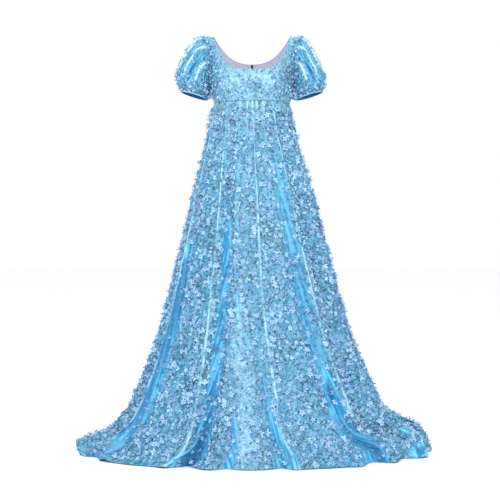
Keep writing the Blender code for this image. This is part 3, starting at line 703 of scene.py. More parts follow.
def sprigs(cloth, uv, size, leaves, reach):
    """Embroidered sprigs, one in each cell of an uneven net: leaves fan out from its middle."""
    cells = cloth.node("TexVoronoi", {"Vector": uv, "Scale": 1 / size}, voronoi_dimensions="2D")
    scaled = cloth.node("VectorMath", {0: uv, "Scale": 1 / size}, operation="SCALE")[0]
    away = cloth.node("VectorMath", {0: scaled, 1: cells["Position"]}, operation="SUBTRACT")[0]
    parts = cloth.node("SeparateXYZ", {0: away})
    chance = cloth.node("SeparateXYZ", {0: cells["Color"]})
    turn = cloth.maths("ARCTAN2", parts[1], parts[0])
    turned = cloth.maths("ADD", turn, cloth.times(chance[0], math.tau))
    fan = cloth.maths("ABSOLUTE", cloth.maths("COSINE", cloth.times(turned, leaves / 2)))
    return cloth.ramp(cloth.maths("SUBTRACT", cloth.times(fan, reach), cells["Distance"]), 0.0, 0.08)


def satin_and_net():
    name = "satin_under_embroidered_net"
    cloth = Finish(name, Roughness=0.42, Sheen_Weight=0.08, Specular_IOR_Level=0.3)
    uv = cloth.node("UVMap", uv_map="cloth")[0]
    large = sprigs(cloth, uv, LARGE_SPRIG, 5, 0.52)
    moved = {"Vector": uv, "Location": (0.31, 0.17, 0), "Rotation": (0, 0, 1)}
    shifted = cloth.node("Mapping", moved)[0]
    small = sprigs(cloth, shifted, SMALL_SPRIG, 3, 0.55)
    cover = cloth.ramp(cloth.noise(uv, 30.0, 3.0), 0.35, 0.60)
    thread = cloth.maths("MAXIMUM", large, cloth.times(small, cover))
    # the fold and crest numbers drive the painted shade and painted highlights below
    fold, crest = cloth.stored("fold"), cloth.stored("crest")
    sunk = cloth.times(fold, -1.0)
    depth = cloth.ramp(sunk, 0.28, 0.85)
    thread = cloth.times(thread, cloth.maths("SUBTRACT", 1.0, cloth.times(depth, 0.75), clamp=True))
    satin = cloth.blend(cloth.ramp(cloth.noise(uv, 9.0, 3.0), 0.38, 0.62), SATIN_BLUE, NET_BLUE)
    uneven = cloth.noise(uv, 55.0, 3.0)
    # painted highlight: pale satin where the crest number is high, on crests and on painted light
    # spots
    satin = cloth.blend(cloth.times(crest, cloth.ramp(uneven, 0.30, 0.60)), satin, CREST_HIGHLIGHT_BLUE)
    # painted shadow: small dark flecks and spots, as shade under and between the flowers
    flecks = cloth.times(cloth.ramp(cloth.noise(uv, 160.0), 0.47, 0.57), 0.75)
    spots = cloth.times(cloth.ramp(cloth.noise(uv, 85.0, 1.0), 0.56, 0.66), 0.7)
    satin = cloth.blend(spots, cloth.blend(flecks, satin, SHADE_BLUE), SHADE_BLUE)
    # painted sheen and shade: deep folds are mixed towards a strong blue, partly the bare satin's own
    # and partly painted shade, with long streaks of painted sheen
    streaks = cloth.node("Mapping", {"Vector": uv, "Scale": (90, 5, 1)})[0]
    lit = cloth.ramp(cloth.noise(streaks, 1.0), 0.42, 0.62)
    satin = cloth.blend(depth, satin, cloth.blend(lit, DEEP_BLUE, SKY_BLUE))
    # painted shade: the deepest folds and gaps are darkened further
    satin = cloth.blend(cloth.times(cloth.ramp(sunk, 0.85, 1.25), 0.9), satin, GAP_SHADE_BLUE)
    colour = cloth.blend(cloth.times(thread, 0.7), satin, THREAD_BLUE)
    # painted highlight: broken pale lines along the crests, and a painted gleam where the crest number
    # is highest
    crest_highlight_lines = cloth.ramp(cloth.times(crest, cloth.ramp(uneven, 0.28, 0.46)), 0.45, 0.95)
    colour = cloth.blend(cloth.times(crest_highlight_lines, 0.7), colour, CREST_HIGHLIGHT_BLUE)
    colour = cloth.blend(cloth.times(cloth.ramp(crest, 0.95, 1.5), 0.9), colour, GLEAM_BLUE)
    # painted shade: the inner side of the cloth is a deeper blue
    colour = cloth.blend(cloth.stored("inside"), colour, INSIDE_SHADE_BLUE)
    weave = cloth.node("TexWave", {"Vector": uv, "Scale": 900.0}, bands_direction="X")["Fac"]
    rough = cloth.node("MapRange", {"Value": thread, "To Min": 0.32, "To Max": 0.6})[0]
    cloth.fill(cloth.shader, {"Roughness": rough})
    return cloth.done(colour, cloth.maths("ADD", thread, cloth.times(weave, 0.05)), 0.8, 0.0008)


overlay = satin_and_net()

# %% [markdown]
# ## Petals, lining and metal
# Petals are cut from thin organza in a few close blues, with painted shade towards the root. The
# lining is a soft lilac, and the zip and the hook are lightly brushed metal.

# %% Petal, lining and metal finishes
PETAL_PALE = (0.420, 0.640, 0.860, 1)
PETAL_BLUE = (0.070, 0.285, 0.530, 1)
PETAL_LILAC = (0.360, 0.470, 0.750, 1)
PETAL_ROOT_SHADE = (0.080, 0.280, 0.480, 1)
LINING_LILAC = (0.600, 0.600, 0.810, 1)
LINING_PALE = (0.720, 0.710, 0.880, 1)
METAL_SHADE = (0.200, 0.180, 0.160, 1)


def petal_cloth():
    cloth = Finish("organza_petals", Roughness=0.55, Sheen_Weight=0.12, Specular_IOR_Level=0.3)
    tint = cloth.stored("tint")
    grain = cloth.noise(cloth.node("TexCoord")["Object"], 400.0)
    colour = cloth.blend(cloth.ramp(tint, 0.0, 0.8), PETAL_BLUE, PETAL_PALE)
    lilac = cloth.ramp(cloth.maths("FRACT", cloth.times(tint, 7.0)), 0.4, 1.0)
    colour = cloth.blend(cloth.times(lilac, 0.6), colour, PETAL_LILAC)
    # painted shade: petals darken towards the flower's middle
    root = cloth.maths("SUBTRACT", 1.0, cloth.ramp(cloth.stored("tip"), 0.10, 0.50))
    colour = cloth.blend(cloth.times(root, 0.5), colour, PETAL_ROOT_SHADE)
    colour = cloth.blend(cloth.times(grain, 0.2), colour, PETAL_PALE)
    return cloth.done(colour, grain, 0.3, 0.0004)


def lining_cloth():
    cloth = Finish("lilac_lining", Roughness=0.7, Sheen_Weight=0.3)
    uv = cloth.node("UVMap", uv_map="cloth")[0]
    weave = cloth.node("TexWave", {"Vector": uv, "Scale": 500.0}, bands_direction="DIAGONAL")["Fac"]
    colour = cloth.blend(cloth.times(cloth.noise(uv, 60.0), 0.5), LINING_LILAC, LINING_PALE)
    return cloth.done(colour, weave, 0.4, 0.0003)


def brushed_metal(name, colour):
    metal = Finish(name, Roughness=0.35, Metallic=1.0)
    scratches = metal.noise(metal.node("TexCoord")["Object"], 3000.0, 3.0)
    colour = metal.blend(metal.times(scratches, 0.3), colour, METAL_SHADE)
    return metal.done(colour, scratches, 0.2, 0.0001)


petals = petal_cloth()
lining = lining_cloth()
zip_metal = brushed_metal("blue_zip_metal", (0.45, 0.58, 0.70, 1))
hook_metal = brushed_metal("bronze_hook", (0.25, 0.17, 0.12, 1))

# %% [markdown]
# ## The skirt's gores
# Seven gores make the skirt. Their seams follow the deep channels, where a maker hides them.
# Columns of points run down each fold, so crests stay crisp with few faces. The spots are given by
# angle and by share of the way down: spots of painted light, where few flowers are sewn, and spots
# of painted shade, darker blue where the satin sinks. Bands of bare satin lie in the deepest
# channels, mixed towards deep blue and painted shade.

# %% Skirt
# painted light: pale patches of sheen on the skirt, where also few flowers are sewn
PAINTED_LIGHT_AREAS = table(
    SPOT,
    (-9, 0.62, 5, 0.20, 0.45),
    (-3, 0.93, 6, 0.07, 0.45),
    (20, 0.80, 5, 0.12, 0.25),
    (-2, 0.78, 10, 0.14, 0.35),
    (30, 0.35, 5, 0.20, 0.30),
    (38, 0.90, 5, 0.07, 0.30),
    (-14, 0.30, 4, 0.15, 0.25),
)
# bands of bare satin with few flowers, mixed towards deep blue and painted shade, darker towards the
# hem
SATIN_BANDS = table(
    "waist knee hem half_width hem_width first last depth hem_depth",
    (-60, -63.0, -77, 6.0, 6.5, 0.36, 0.98, 1.12, 1.32),
    (-27, -19.8, -24, 3.5, 2.4, 0.30, 1.10, 0.90, 1.25),
    (-12, -8.0, -8, 2.0, 2.0, 0.78, 1.10, 0.45, 0.85),
    (-3, 0.5, 13, 2.4, 2.0, 0.50, 1.10, 0.50, 1.05),
    (24, 33.0, 46.5, 9.5, 2.2, 0.10, 1.10, 0.60, 1.20),
    (41, 54.0, 59, 6.0, 4.0, 0.00, 1.10, 0.10, 0.40),
    (115, 120, 126, 3.0, 2.5, 0.30, 1.10, 0.65, 1.05),
    (138, 141, 143, 2.5, 3.0, 0.50, 1.10, 0.70, 1.10),
    (161, 163, 164, 3.5, 2.5, 0.35, 1.10, 0.60, 1.00),
    (-116, -117, -119, 2.5, 2.5, 0.55, 1.10, 0.60, 1.00),
    (-138, -140, -142, 2.5, 3.0, 0.25, 1.10, 0.60, 1.10),
    (-161, -163, -164, 3.0, 2.5, 0.40, 1.10, 0.70, 1.05),
)
# painted shade: darker blue spots in hollows of the folds and at the hem
PAINTED_SHADE_HOLLOWS = table(
    SPOT,
    (67, 0.988, 3.5, 0.018, 1.3),
    (67, 0.943, 2.5, 0.012, 1.0),
    (31, 0.978, 0.9, 0.020, 1.25),
    (70, 0.985, 4, 0.016, 1.2),
    (36, 0.985, 2.0, 0.016, 1.2),
    (10, 0.985, 2.0, 0.016, 1.2),
    (42, 0.78, 1.5, 0.05, 1.2),
    (-101, 0.985, 6, 0.020, 1.1),
    (-66, 0.97, 4, 0.020, 1.1),
    (-25.5, 0.968, 3.0, 0.022, 1.3),
    (-17, 0.48, 1.2, 0.05, 1.0),
    (-9, 0.55, 1.2, 0.06, 1.0),
)
SKIRT_ROWS = 145
ROW_CROWDING = 0.9
FINE_ANGLE_STEP = 0.4
# painted light: a pale wash near the waist and down the front middle
WAIST_PALE, WAIST_PALE_FADE = 0.25, 0.12
FRONT_PAINTED_LIGHT, FRONT_PALE_ANGLE, FRONT_PALE_HALF = 0.25, 2, 20
PALE_BARE = 0.9
CREST_GAIN = 0.9
TRAIN_CREST_END = 30
FULL_FOLD = 42.0
LOWEST_FOLD = -1.2
row_shares = np.linspace(0, 1, SKIRT_ROWS) ** ROW_CROWDING


def skirt_light(angle, share, crest, bare):
    """The crest and bare numbers, with the painted light spots, the creases' painted highlights and
    the quiet middle.
    """
    pale = WAIST_PALE * np.exp(-share / WAIST_PALE_FADE)
    pale = pale + FRONT_PAINTED_LIGHT * bell(angle - FRONT_PALE_ANGLE, FRONT_PALE_HALF)
    for spot in PAINTED_LIGHT_AREAS:
        near = near_spot(spot, angle, share)
        pale, bare = pale + spot.strength * near, np.maximum(bare, PALE_BARE * near)
    crest = crest * (CREST_GAIN - CREST_GAIN * rising(share, 0.84, 0.06) * (angle > TRAIN_CREST_END))
    strips = waist_creases(angle, share, STRIP_FADE)
    middle = bell(angle + 10 - 6 * share, 12, 4) * rising(share, 0.25, 0.2)
    crest = np.maximum(crest, pale + 0.30 * waist_creases(angle, share) + 0.06 * strips)
    return crest, np.maximum(np.maximum(bare, 0.6 * strips), 0.45 * middle)


def skirt_depth(angle, share, height):
    """How deep the cloth lies, for its painted shade and its flowers: the folds' own depth, then the
    satin bands, then the painted shade hollows.
    """
    fold = np.clip(height / FULL_FOLD, LOWEST_FOLD, 1)
    for band in SATIN_BANDS:
        width = band.half_width + (band.hem_width - band.half_width) * rising(share, 0.6, 0.35)
        near = rising(share, band.first, 0.08) * falling(share, band.last, 0.03)
        near = near * bell(angle - fold_angle(band, share), width, 4)
        depth = band.depth + (band.hem_depth - band.depth) * rising(share, 0.75, 0.2)
        fold = fold * (1 - near) - depth * near
    for spot in PAINTED_SHADE_HOLLOWS:
        near = near_spot(spot, angle, share)
        fold = fold * (1 - near) - spot.strength * near
    return fold


for gore in GORES:
    angle = gore_angles(gore, row_shares)
    share = np.broadcast_to(row_shares[:, None], angle.shape)
    points = skirt_surface(angle, share)
    inner = np.minimum(share, HEM_INSET)
    normals = -normals_of(skirt_surface, angle, inner, FINE_ANGLE_STEP, SHARE_STEP)
    height, crest, bare = fold_shapes(angle, share)
    fold = skirt_depth(angle, share, height)
    crest, bare = skirt_light(angle, share, crest, bare)
    lay_cloth(gore.name, points, normals, overlay, fold, crest, bare)
    print(gore.name, "flat", short(laid_panels[gore.name].size))

# %% [markdown]
# ## The bodice and its facing
# The front is one panel with both straps. The backs meet at the concealed zip. Inside the back neck
# a strip of lilac lining is turned in, which shows above the front neckline when the gown stands
# open.

# %% Bodice
FRONT_COLUMNS = 60
BACK_COLUMNS = 54
BODICE_ROWS = 64
BODICE_PAINTED_LIGHT = 0.58
FACING_COLUMNS = 30
FACING_INWARD = 0.0024
FACING_THICKNESS = 0.0009
FACING = {"first": 0.012, "last": 0.755, "low": 0.80, "high": 0.995}


def bodice_half(side, depth, columns, inward=0.0, first=0.0, last=1.0, low=0.0, high=1.0):
    """One side of the bodice, with the shallow crumples that gathers and flowers leave in it."""
    u, v = np.meshgrid(np.linspace(first, last, columns), np.linspace(high, low, BODICE_ROWS))
    points = bodice_surface(u, v, side, depth)
    normals = bodice_normals(points, u, v, side, depth)
    shape = 0.7 * np.sin(38 * u + 9 * v) * np.sin(13 * v + 5 * u) * np.sin(np.pi * np.clip(v, 0, 1))
    drawn_in = rising(u, 0, 0.05) * falling(u, 0.98, 0.1)
    shape = shape + 0.9 * np.cos(80 * u + np.sin(11 * u)) * np.exp(-(1 - v) / 0.2) * drawn_in
    shape = shape + 0.8 * np.cos(95 * u + np.sin(7 * u)) * np.exp(-v / 0.15) * drawn_in
    shape = shape - SEAM_DIP * np.exp(-v / 0.01)
    return points + normals * (LIFT - inward + shape * MM * (inward == 0))[..., None], normals


# painted light and shade on the bodice front: a pale wash all over, painted highlights on the bust and
# down the middle, and painted shade at the sides and between the cups
BODICE_PAINTED_LIGHT_AND_SHADE = table(
    SPOT,
    (-0.33, 0.55, 0.15, 0.18, 0.30),
    (0.30, 0.50, 0.15, 0.18, 0.25),
    (0.00, 0.30, 0.30, 0.10, 0.20),
    (-0.12, 0.85, 0.25, 0.12, 0.15),
    (-0.75, 0.70, 0.18, 0.30, -0.35),
    (0.72, 0.75, 0.18, 0.30, -0.35),
    (0.05, 0.62, 0.06, 0.20, -0.20),
)
halves = zip(*(bodice_half(side, "front_depth", FRONT_COLUMNS) for side in (-1, 1)))
points, normals = (np.concatenate([right[:, ::-1], left[:, 1:]], axis=1) for right, left in halves)
across, down = np.meshgrid(np.linspace(-1, 1, points.shape[1]), np.linspace(0, 1, BODICE_ROWS))
pale = np.full(across.shape, BODICE_PAINTED_LIGHT)
for spot in BODICE_PAINTED_LIGHT_AND_SHADE:
    pale = pale + spot.strength * near_spot(spot, across, down)
lay_cloth("bodice_front", points, normals, overlay, crest=pale)
for side, word in ((1, "left"), (-1, "right")):
    points, normals = bodice_half(side, "back_depth", BACK_COLUMNS)
    lay_cloth(f"bodice_back_{word}", points, normals, overlay)
    points, normals = bodice_half(side, "back_depth", FACING_COLUMNS, FACING_INWARD, **FACING)
    finish = {"material": lining, "slot": "lining_cloth", "thickness": FACING_THICKNESS}
    lay_cloth(f"neck_facing_{word}", points, normals, **finish)
print("bodice", short(laid_panels["bodice_front"].size))

# %% [markdown]
# ## Sleeves and cuffs
# Each sleeve is one ring of cloth. A narrow band of the same cloth binds its lower edge, with a
# thin rolled edge that catches the light, helped by a painted highlight. Painted highlights run
# along the sleeve's fold crests, and painted shade darkens the front hollow of the puff.

# %% Sleeves
SLEEVE_COLUMNS = 160
SLEEVE_ROWS = 60
SLEEVE_FULL_FOLD = 7.0
SLEEVE_CREST_GAIN = 1.45
SLEEVE_OUTLINE = 16
CUFF_WAVE = 0.0003
CUFF_WAVES = 34
CUFF_HIGHLIGHT_RINGS = slice(3, 6)
SLEEVE_PAINTED_SHADE = table(SPOT, (72, 0.62, 24, 0.2, 0.7))[0]
for side, word, extra in ((1, "left", LEFT_SLEEVE_OUT), (-1, "right", RIGHT_SLEEVE_OUT)):

    def surface(a, b, side=side, extra=extra):
        return sleeve_surface(a, b, side, extra)

    angle, share = np.meshgrid(np.linspace(0, 360, SLEEVE_COLUMNS + 1), np.linspace(0, 1, SLEEVE_ROWS))
    points = surface(angle, share)
    normals = normals_of(surface, angle, np.clip(share, 0.012, 0.988), 1.0, 0.012)
    centre = points.mean(axis=1, keepdims=True)
    normals *= np.sign(((points - centre) * normals).sum(-1, keepdims=True))
    height, crest = sleeve_folds(angle, share)
    outline = np.abs(apart(angle, 0)) < SLEEVE_OUTLINE
    bare = falling(share, 0.62, 0.15) * np.where(outline, 0.2, 0.93)
    # painted shade: the front hollow of the puff is darkened
    fold = height / SLEEVE_FULL_FOLD - SLEEVE_PAINTED_SHADE.strength * near_spot(SLEEVE_PAINTED_SHADE, angle, share)
    # painted highlight: pale lines along the crests of the sleeve's folds
    crest = SLEEVE_CREST_GAIN * crest
    lay_cloth(f"sleeve_{word}", points, normals, overlay, fold, crest, bare, ring=True)


def cuff_frame(side):
    end = SLEEVE[-1]
    across = Vector((side * (end.outer_x - end.under_x), 0, end.outer_z - end.under_z)).normalized()
    down = Vector((side * across.z, 0, -abs(across.x)))
    middle = Vector((side * (end.outer_x + end.under_x) / 2, 0, (end.outer_z + end.under_z) / 2))
    half = math.hypot(end.outer_x - end.under_x, end.outer_z - end.under_z) / 2
    return middle, across, down, half, end.half_depth


CUFF_PROFILE = table(
    "depth out",
    (-0.001, 0.0000),
    (0.0005, 0.0012),
    (0.0025, 0.0008),
    (0.0045, 0.0008),
    (0.0060, 0.0014),
    (0.0070, 0.0010),
    (0.0076, -0.0004),
    (0.0070, -0.0018),
    (0.0040, -0.0020),
)
for side, word in ((1, "left"), (-1, "right")):
    middle, across, down, half, depth = cuff_frame(side)
    phi = np.radians(np.linspace(0, 360, SLEEVE_COLUMNS + 1))
    rings, outward = [], []
    for step in CUFF_PROFILE:
        wave = step.out + CUFF_WAVE * np.cos(CUFF_WAVES * phi)
        ring = np.array(middle) + np.outer(np.cos(phi) * half + np.cos(phi) * wave, np.array(across))
        ring[:, 1] = -np.sin(phi) * (depth + wave)
        rings.append(ring + np.array(down) * step.depth)
        outward.append(ring - np.array(middle))
    points = np.array(rings)
    normals = unit(np.array(outward))
    # painted highlight along the cuff's rolled edge
    crest = np.zeros(points.shape[:2])
    crest[CUFF_HIGHLIGHT_RINGS] = 1.0
    lay_cloth(f"cuff_{word}", points, normals, overlay, crest=crest, ring=True)
print("sleeves", short(laid_panels["sleeve_left"].size))

# %% [markdown]
# ## One cloth flower
# The flowers are punched from thin cloth, five petals each, and sewn down at the middle so the
# petals stand up. One petal is a small disc pulled into shape, then spun into five. Five slightly
# different flowers are enough for the eye, because each one on the gown is also turned, tilted and
# sized on its own.

# %% Flower templates
PETAL_SIDES = 5
PETAL_THICKNESS = 0.03
PETAL_ROOT_REACH = 0.06
PETAL_LENGTH = 1.04
PETAL_WAIST = 0.30
PETALS = 5
BEAD_RADIUS = 0.11
BEAD_SIDES = 4


def flower_template(seed, curl, cup, width):
    """A flower of radius 1: points, triangles and each point's distance from the middle."""
    random = np.random.default_rng(seed)
    bm = bmesh.new()
    bmesh.ops.create_circle(bm, cap_ends=True, segments=PETAL_SIDES, radius=0.5)
    bmesh.ops.rotate(bm, cent=(0, 0, 0), matrix=Matrix.Rotation(math.pi / 2, 3, "Z"), verts=bm.verts)
    bmesh.ops.poke(bm, faces=bm.faces[:])
    copy = bmesh.ops.duplicate(bm, geom=everything(bm))["geom"]
    bmesh.ops.reverse_faces(bm, faces=[item for item in copy if isinstance(item, bmesh.types.BMFace)])
    under = [item for item in copy if isinstance(item, bmesh.types.BMVert) and item.co.length < 1e-6]
    bmesh.ops.translate(bm, vec=(0, 0, -PETAL_THICKNESS), verts=under)
    bmesh.ops.remove_doubles(bm, verts=bm.verts, dist=1e-4)
    for vert in bm.verts:
        x, y = vert.co.x, vert.co.y
        reach = x + 0.5
        vert.co.x = PETAL_ROOT_REACH + PETAL_LENGTH * reach
        vert.co.y = y * (PETAL_WAIST + width * math.sin(math.pi * min(reach, 1) ** 1.3))
        vert.co.z += cup * (abs(y) * 2) ** 2
    bmesh.ops.spin(
        bm,
        geom=everything(bm),
        axis=(0, 0, 1),
        cent=(0, 0, 0),
        steps=PETALS - 1,
        angle=math.tau * (PETALS - 1) / PETALS,
        use_duplicate=True,
        use_merge=False,
    )
    lifts, lengths = random.uniform(-0.25, 0.5, PETALS), random.uniform(0.75, 1.1, PETALS)
    twists = random.normal(0, 0.5, PETALS)
    for vert in bm.verts:
        turn = math.atan2(vert.co.y, vert.co.x) % math.tau
        petal = round(turn / math.tau * PETALS) % PETALS
        aside = (turn - petal * math.tau / PETALS + math.pi) % math.tau - math.pi
        reach = math.hypot(vert.co.x, vert.co.y)
        vert.co.z += (curl + lifts[petal]) * reach**2 + twists[petal] * aside * reach**2
        vert.co.x *= lengths[petal]
        vert.co.y *= lengths[petal]
    bead = {"segments": BEAD_SIDES, "radius1": BEAD_RADIUS, "radius2": 0, "depth": BEAD_RADIUS}
    made = bmesh.ops.create_cone(bm, cap_ends=True, **bead)
    bmesh.ops.translate(bm, vec=(0, 0, BEAD_RADIUS / 2 + 0.01), verts=made["verts"])
    bmesh.ops.triangulate(bm, faces=bm.faces)
    bm.verts.ensure_lookup_table()
    points = np.array([vert.co for vert in bm.verts])
    corners = np.array([[vert.index for vert in face.verts] for face in bm.faces])
    bm.free()
    return points, corners, np.hypot(points[:, 0], points[:, 1])


templates = [
    flower_template(1, 0.25, 0.10, 0.65),
    flower_template(2, 0.50, 0.20, 0.55),
    flower_template(3, 0.10, 0.25, 0.75),
    flower_template(4, 0.70, 0.10, 0.60),
    flower_template(5, 0.35, -0.15, 0.80),
]
print("flower triangles", [len(corners) for _, corners, _ in templates])

# %% [markdown]
# ## Sewing the flowers on
# Flowers sit about a centimetre and a half apart, as a hand spaces them: never on a grid, with
# petals that overlap. Random places on the cloth are tried in turn, and a place is kept when no
# flower is near. Deep channels and bare strips keep few, so the satin shows there.

# %% Flower scatter
SHALLOW = 0.12
DEEP = 0.60
DEEP_CHANCE = 0.08
BARE_LOSS = 0.96
TRIES = 9
CLOSEST, WIDEST = 0.72, 1.15
CELL = 1.2
LEAN = 0.40
SMALL_SIZES = 1.5
STITCH_LIFT = 0.0006
FLOOR_GAP = 0.0002
SHARP_PETAL = math.radians(40)
NEIGHBOURS = [(x, y, z) for x in (-1, 0, 1) for y in (-1, 0, 1) for z in (-1, 0, 1)]


def sewing_places(laid, row):
    """Places and directions of the flowers of one panel."""
    random = np.random.default_rng(row.seed)
    points = laid.points
    a, b = points[:-1, 1:] - points[:-1, :-1], points[1:, :-1] - points[:-1, :-1]
    area = np.linalg.norm(np.cross(a, b), axis=-1)
    rows, columns = area.shape
    tries = int(area.sum() / row.spacing**2 * TRIES)
    chosen = np.searchsorted(np.cumsum(area.ravel()) / area.sum(), random.random(tries))
    i, j = np.divmod(np.minimum(chosen, area.size - 1), columns)
    s, t = random.random(tries)[:, None], random.random(tries)[:, None]

    def mixed(grid):
        upper = grid[i, j] * (1 - s) + grid[i, j + 1] * s
        lower = grid[i + 1, j] * (1 - s) + grid[i + 1, j + 1] * s
        return upper * (1 - t) + lower * t

    places, directions = mixed(points), mixed(laid.normals)
    depth, bare = mixed(laid.fold[..., None])[:, 0], mixed(laid.bare[..., None])[:, 0]
    down, across = (i + t[:, 0]) / rows, (j + s[:, 0]) / columns
    allowed = (down > row.top) & (down < row.bottom) & (across > row.edge) & (across < 1 - row.edge)
    sunk = rising(-depth, SHALLOW, DEEP - SHALLOW)
    chance = 1 - (1 - DEEP_CHANCE) * smooth(sunk)
    allowed &= random.random(tries) < chance * (1 - BARE_LOSS * bare)
    room = row.spacing * random.uniform(CLOSEST, WIDEST, tries)
    cells, kept = {}, []
    for number in np.flatnonzero(allowed):
        place = places[number]
        key = tuple(np.floor(place / (row.spacing * CELL)).astype(int))
        around = (cells.get((key[0] + x, key[1] + y, key[2] + z), ()) for x, y, z in NEIGHBOURS)
        gaps = (places[other] - place for cell in around for other in cell)
        if all(np.dot(gap, gap) > room[number] ** 2 for gap in gaps):
            cells.setdefault(key, []).append(number)
            kept.append(number)
    return places[kept], directions[kept]


def sew_flowers(row):
    """One mesh of flowers for a panel, each turned, tilted, sized and tinted on its own."""
    name = row.panel + "_flowers"
    places, directions = sewing_places(laid_panels[row.panel], row)
    random = np.random.default_rng(row.seed + 1)
    count = len(places)
    directions = unit(directions + random.normal(0, LEAN, (count, 3)))
    sideways = unit(np.cross(directions, random.normal(0, 1, (count, 3))))
    turns = np.stack([sideways, np.cross(directions, sideways), directions], axis=1)
    sizes = row.smallest + (row.largest - row.smallest) * random.random(count) ** SMALL_SIZES
    tints = random.random(count)
    kinds = random.integers(0, len(templates), count)
    all_points, all_corners, all_tints, all_tips, start = [], [], [], [], 0
    for kind, (points, corners, reach) in enumerate(templates):
        mine = np.flatnonzero(kinds == kind)
        if not len(mine):
            continue
        placed = np.einsum("pk,nkc->npc", points, turns[mine]) * sizes[mine, None, None]
        placed += places[mine, None] + directions[mine, None] * STITCH_LIFT
        numbers = corners[None] + (np.arange(len(mine)) * len(points))[:, None, None] + start
        all_points.append(placed.reshape(-1, 3))
        all_corners.append(numbers.reshape(-1, 3))
        all_tints.append(np.repeat(tints[mine], len(points)))
        all_tips.append(np.tile(reach, len(mine)))
        start += len(mine) * len(points)
    points, corners = np.concatenate(all_points), np.concatenate(all_corners)
    points[:, 2] = np.maximum(points[:, 2], FLOOR_Z + FLOOR_GAP)
    mesh = bpy.data.meshes.new(name)
    mesh.from_pydata(points, [], corners)
    for word, values in (("tint", all_tints), ("tip", all_tips)):
        mesh.attributes.new(word, "FLOAT", "POINT").data.foreach_set("value", np.concatenate(values))
    mesh.shade_smooth()
    mesh.set_sharp_from_angle(angle=SHARP_PETAL)
    mesh.materials.append(petals)
    piece = new_object(name, mesh)
    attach(piece, "gown")
    print(name, count, "flowers", len(corners), "triangles")
    return piece


# %% [markdown]
# ## Flowers on every panel
# The skirt's flowers are the largest, and lie a little wider apart at the back. The bodice and the
# sleeves have smaller ones. No flower sits in a seam, so each panel keeps a bare edge; a sleeve has
# no side edges.

# %% Flowers on every panel
SEWING = table(
    "panel seed spacing smallest largest top bottom edge",
    ("skirt_back_right", 100, 0.0146, 0.0058, 0.0125, 0.012, 0.99, 0.004),
    ("skirt_side_back_right", 101, 0.0146, 0.0058, 0.0125, 0.012, 0.99, 0.004),
    ("skirt_side_front_right", 102, 0.0140, 0.0058, 0.0125, 0.012, 0.99, 0.004),
    ("skirt_front", 103, 0.0140, 0.0058, 0.0125, 0.012, 0.99, 0.004),
    ("skirt_side_front_left", 104, 0.0140, 0.0058, 0.0125, 0.012, 0.99, 0.004),
    ("skirt_side_back_left", 105, 0.0146, 0.0058, 0.0125, 0.012, 0.99, 0.004),
    ("skirt_back_left", 106, 0.0146, 0.0058, 0.0125, 0.012, 0.99, 0.004),
    ("bodice_front", 200, 0.0135, 0.0055, 0.0085, 0.27, 0.95, 0.03),
    ("bodice_back_left", 201, 0.0135, 0.0055, 0.0085, 0.06, 0.95, 0.03),
    ("bodice_back_right", 202, 0.0135, 0.0055, 0.0085, 0.06, 0.95, 0.03),
    ("sleeve_left", 300, 0.0150, 0.0060, 0.0092, 0.05, 0.98, -1),
    ("sleeve_right", 301, 0.0150, 0.0060, 0.0092, 0.05, 0.98, -1),
)
sewn_on = {row.panel: sew_flowers(row) for row in SEWING}

# %% [markdown]
# ## Hiding the plain solids
# Each laid panel takes the place of its plain solid, which is hidden. The table gives the size each
# panel was cut to. The zip's slider and pull and the neck hook are right as they are, and only get
# their metal.

CUTS = table(
    "panel width length area held",
    ("skirt_front", 0.732, 1.311, 0.403, "hung"),
    ("skirt_side_front_right", 0.739, 1.394, 0.524, "hung"),
    ("skirt_side_front_left", 0.573, 1.365, 0.428, "hung"),
    ("skirt_side_back_right", 0.473, 1.428, 0.345, "hung"),
    ("skirt_side_back_left", 0.507, 1.418, 0.334, "hung"),
    ("skirt_back_right", 0.422, 1.444, 0.334, "hung"),
    ("skirt_back_left", 0.414, 1.441, 0.341, "hung"),
    ("bodice_front", 0.562, 0.261, 0.060, "stretched"),
    ("bodice_back_right", 0.227, 0.257, 0.035, "stretched"),
    ("bodice_back_left", 0.227, 0.257, 0.035, "stretched"),
    ("sleeve_right", 0.574, 0.254, 0.080, "gathered"),
    ("sleeve_left", 0.569, 0.245, 0.076, "gathered"),
    ("cuff_right", 0.339, 0.015, 0.0049, "stretched"),
    ("cuff_left", 0.339, 0.015, 0.0049, "stretched"),
    ("neck_facing_right", 0.183, 0.028, 0.0039, "stretched"),
    ("neck_facing_left", 0.183, 0.028, 0.0039, "stretched"),
)
for cut in CUTS:
    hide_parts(cut.panel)
for name, metal in (("zip_slider", zip_metal), ("zip_pull", zip_metal), ("neck_hook", hook_metal)):
    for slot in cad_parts[name].material_slots:
        slot.material = metal

# %% [markdown]
# ## Floor, light and camera
# A pale seamless floor and soft lights show cloth best: small lights would make each petal's shadow
# hard. The camera stands well back, level with the middle of the gown, so the gown keeps its true
# proportions.

# %% Stage
FLOOR_SIDE = 40.0
LIGHT_AIM = Vector((0, 0, -0.6))


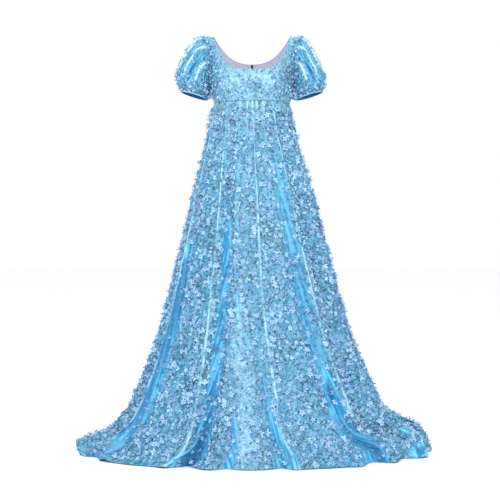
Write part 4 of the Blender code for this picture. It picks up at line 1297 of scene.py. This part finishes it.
def pale_floor():
    finish = Finish("pale_floor", Roughness=0.9)
    grain = finish.noise(finish.node("TexCoord")["Object"], 30.0)
    colour = finish.blend(grain, (0.975, 0.975, 0.975, 1), (0.985, 0.985, 0.985, 1))
    finish.fill(finish.shader, {"Base Color": colour})
    return finish.material


bm = bmesh.new()
level = Matrix.Translation((0, 0, FLOOR_Z))
bmesh.ops.create_grid(bm, x_segments=1, y_segments=1, size=FLOOR_SIDE / 2, matrix=level)
mesh = bpy.data.meshes.new("studio_floor")
bm.to_mesh(mesh)
bm.free()
mesh.materials.append(pale_floor())
floor = new_object("studio_floor", mesh)

world = bpy.data.worlds.new("studio")
bpy.context.scene.world = world
world.use_nodes = True
backdrop = world.node_tree.nodes["Background"]
backdrop.inputs["Color"].default_value = (1, 1, 1, 1)
backdrop.inputs["Strength"].default_value = 1.0

LIGHTS = table(
    "name place side power",
    ("key_softbox", (-0.6, -3.8, 1.7), 1.0, 112),
    ("fill_softbox", (2.8, -2.6, 0.4), 2.2, 14),
    ("top_softbox", (0.0, 0.6, 2.6), 2.0, 20),
)
for light in LIGHTS:
    data = bpy.data.lights.new(light.name, "AREA")
    data.shape = "SQUARE"
    data.size = light.side
    data.energy = light.power
    lamp = new_object(light.name, data)
    lamp.location = light.place
    lamp.rotation_euler = (LIGHT_AIM - Vector(light.place)).to_track_quat("-Z", "Y").to_euler()

CAMERA_DISTANCE = 3.75
CAMERA_HEIGHT = 0.76
FRAME_PIXELS = 500
FOCAL_PIXELS = 1063
SHIFT_PIXELS = (-2, -15)
camera_data = bpy.data.cameras.new("studio_camera")
camera_data.sensor_width = 36.0
camera_data.lens = camera_data.sensor_width * FOCAL_PIXELS / FRAME_PIXELS
camera_data.shift_x, camera_data.shift_y = (pixels / FRAME_PIXELS for pixels in SHIFT_PIXELS)
camera = new_object("studio_camera", camera_data)
camera.location = (0, -CAMERA_DISTANCE, FLOOR_Z + CAMERA_HEIGHT)
camera.rotation_euler = (math.radians(90), 0, 0)
bpy.context.scene.camera = camera
bpy.context.scene.view_settings.view_transform = "Standard"
print("camera at", short(camera.location))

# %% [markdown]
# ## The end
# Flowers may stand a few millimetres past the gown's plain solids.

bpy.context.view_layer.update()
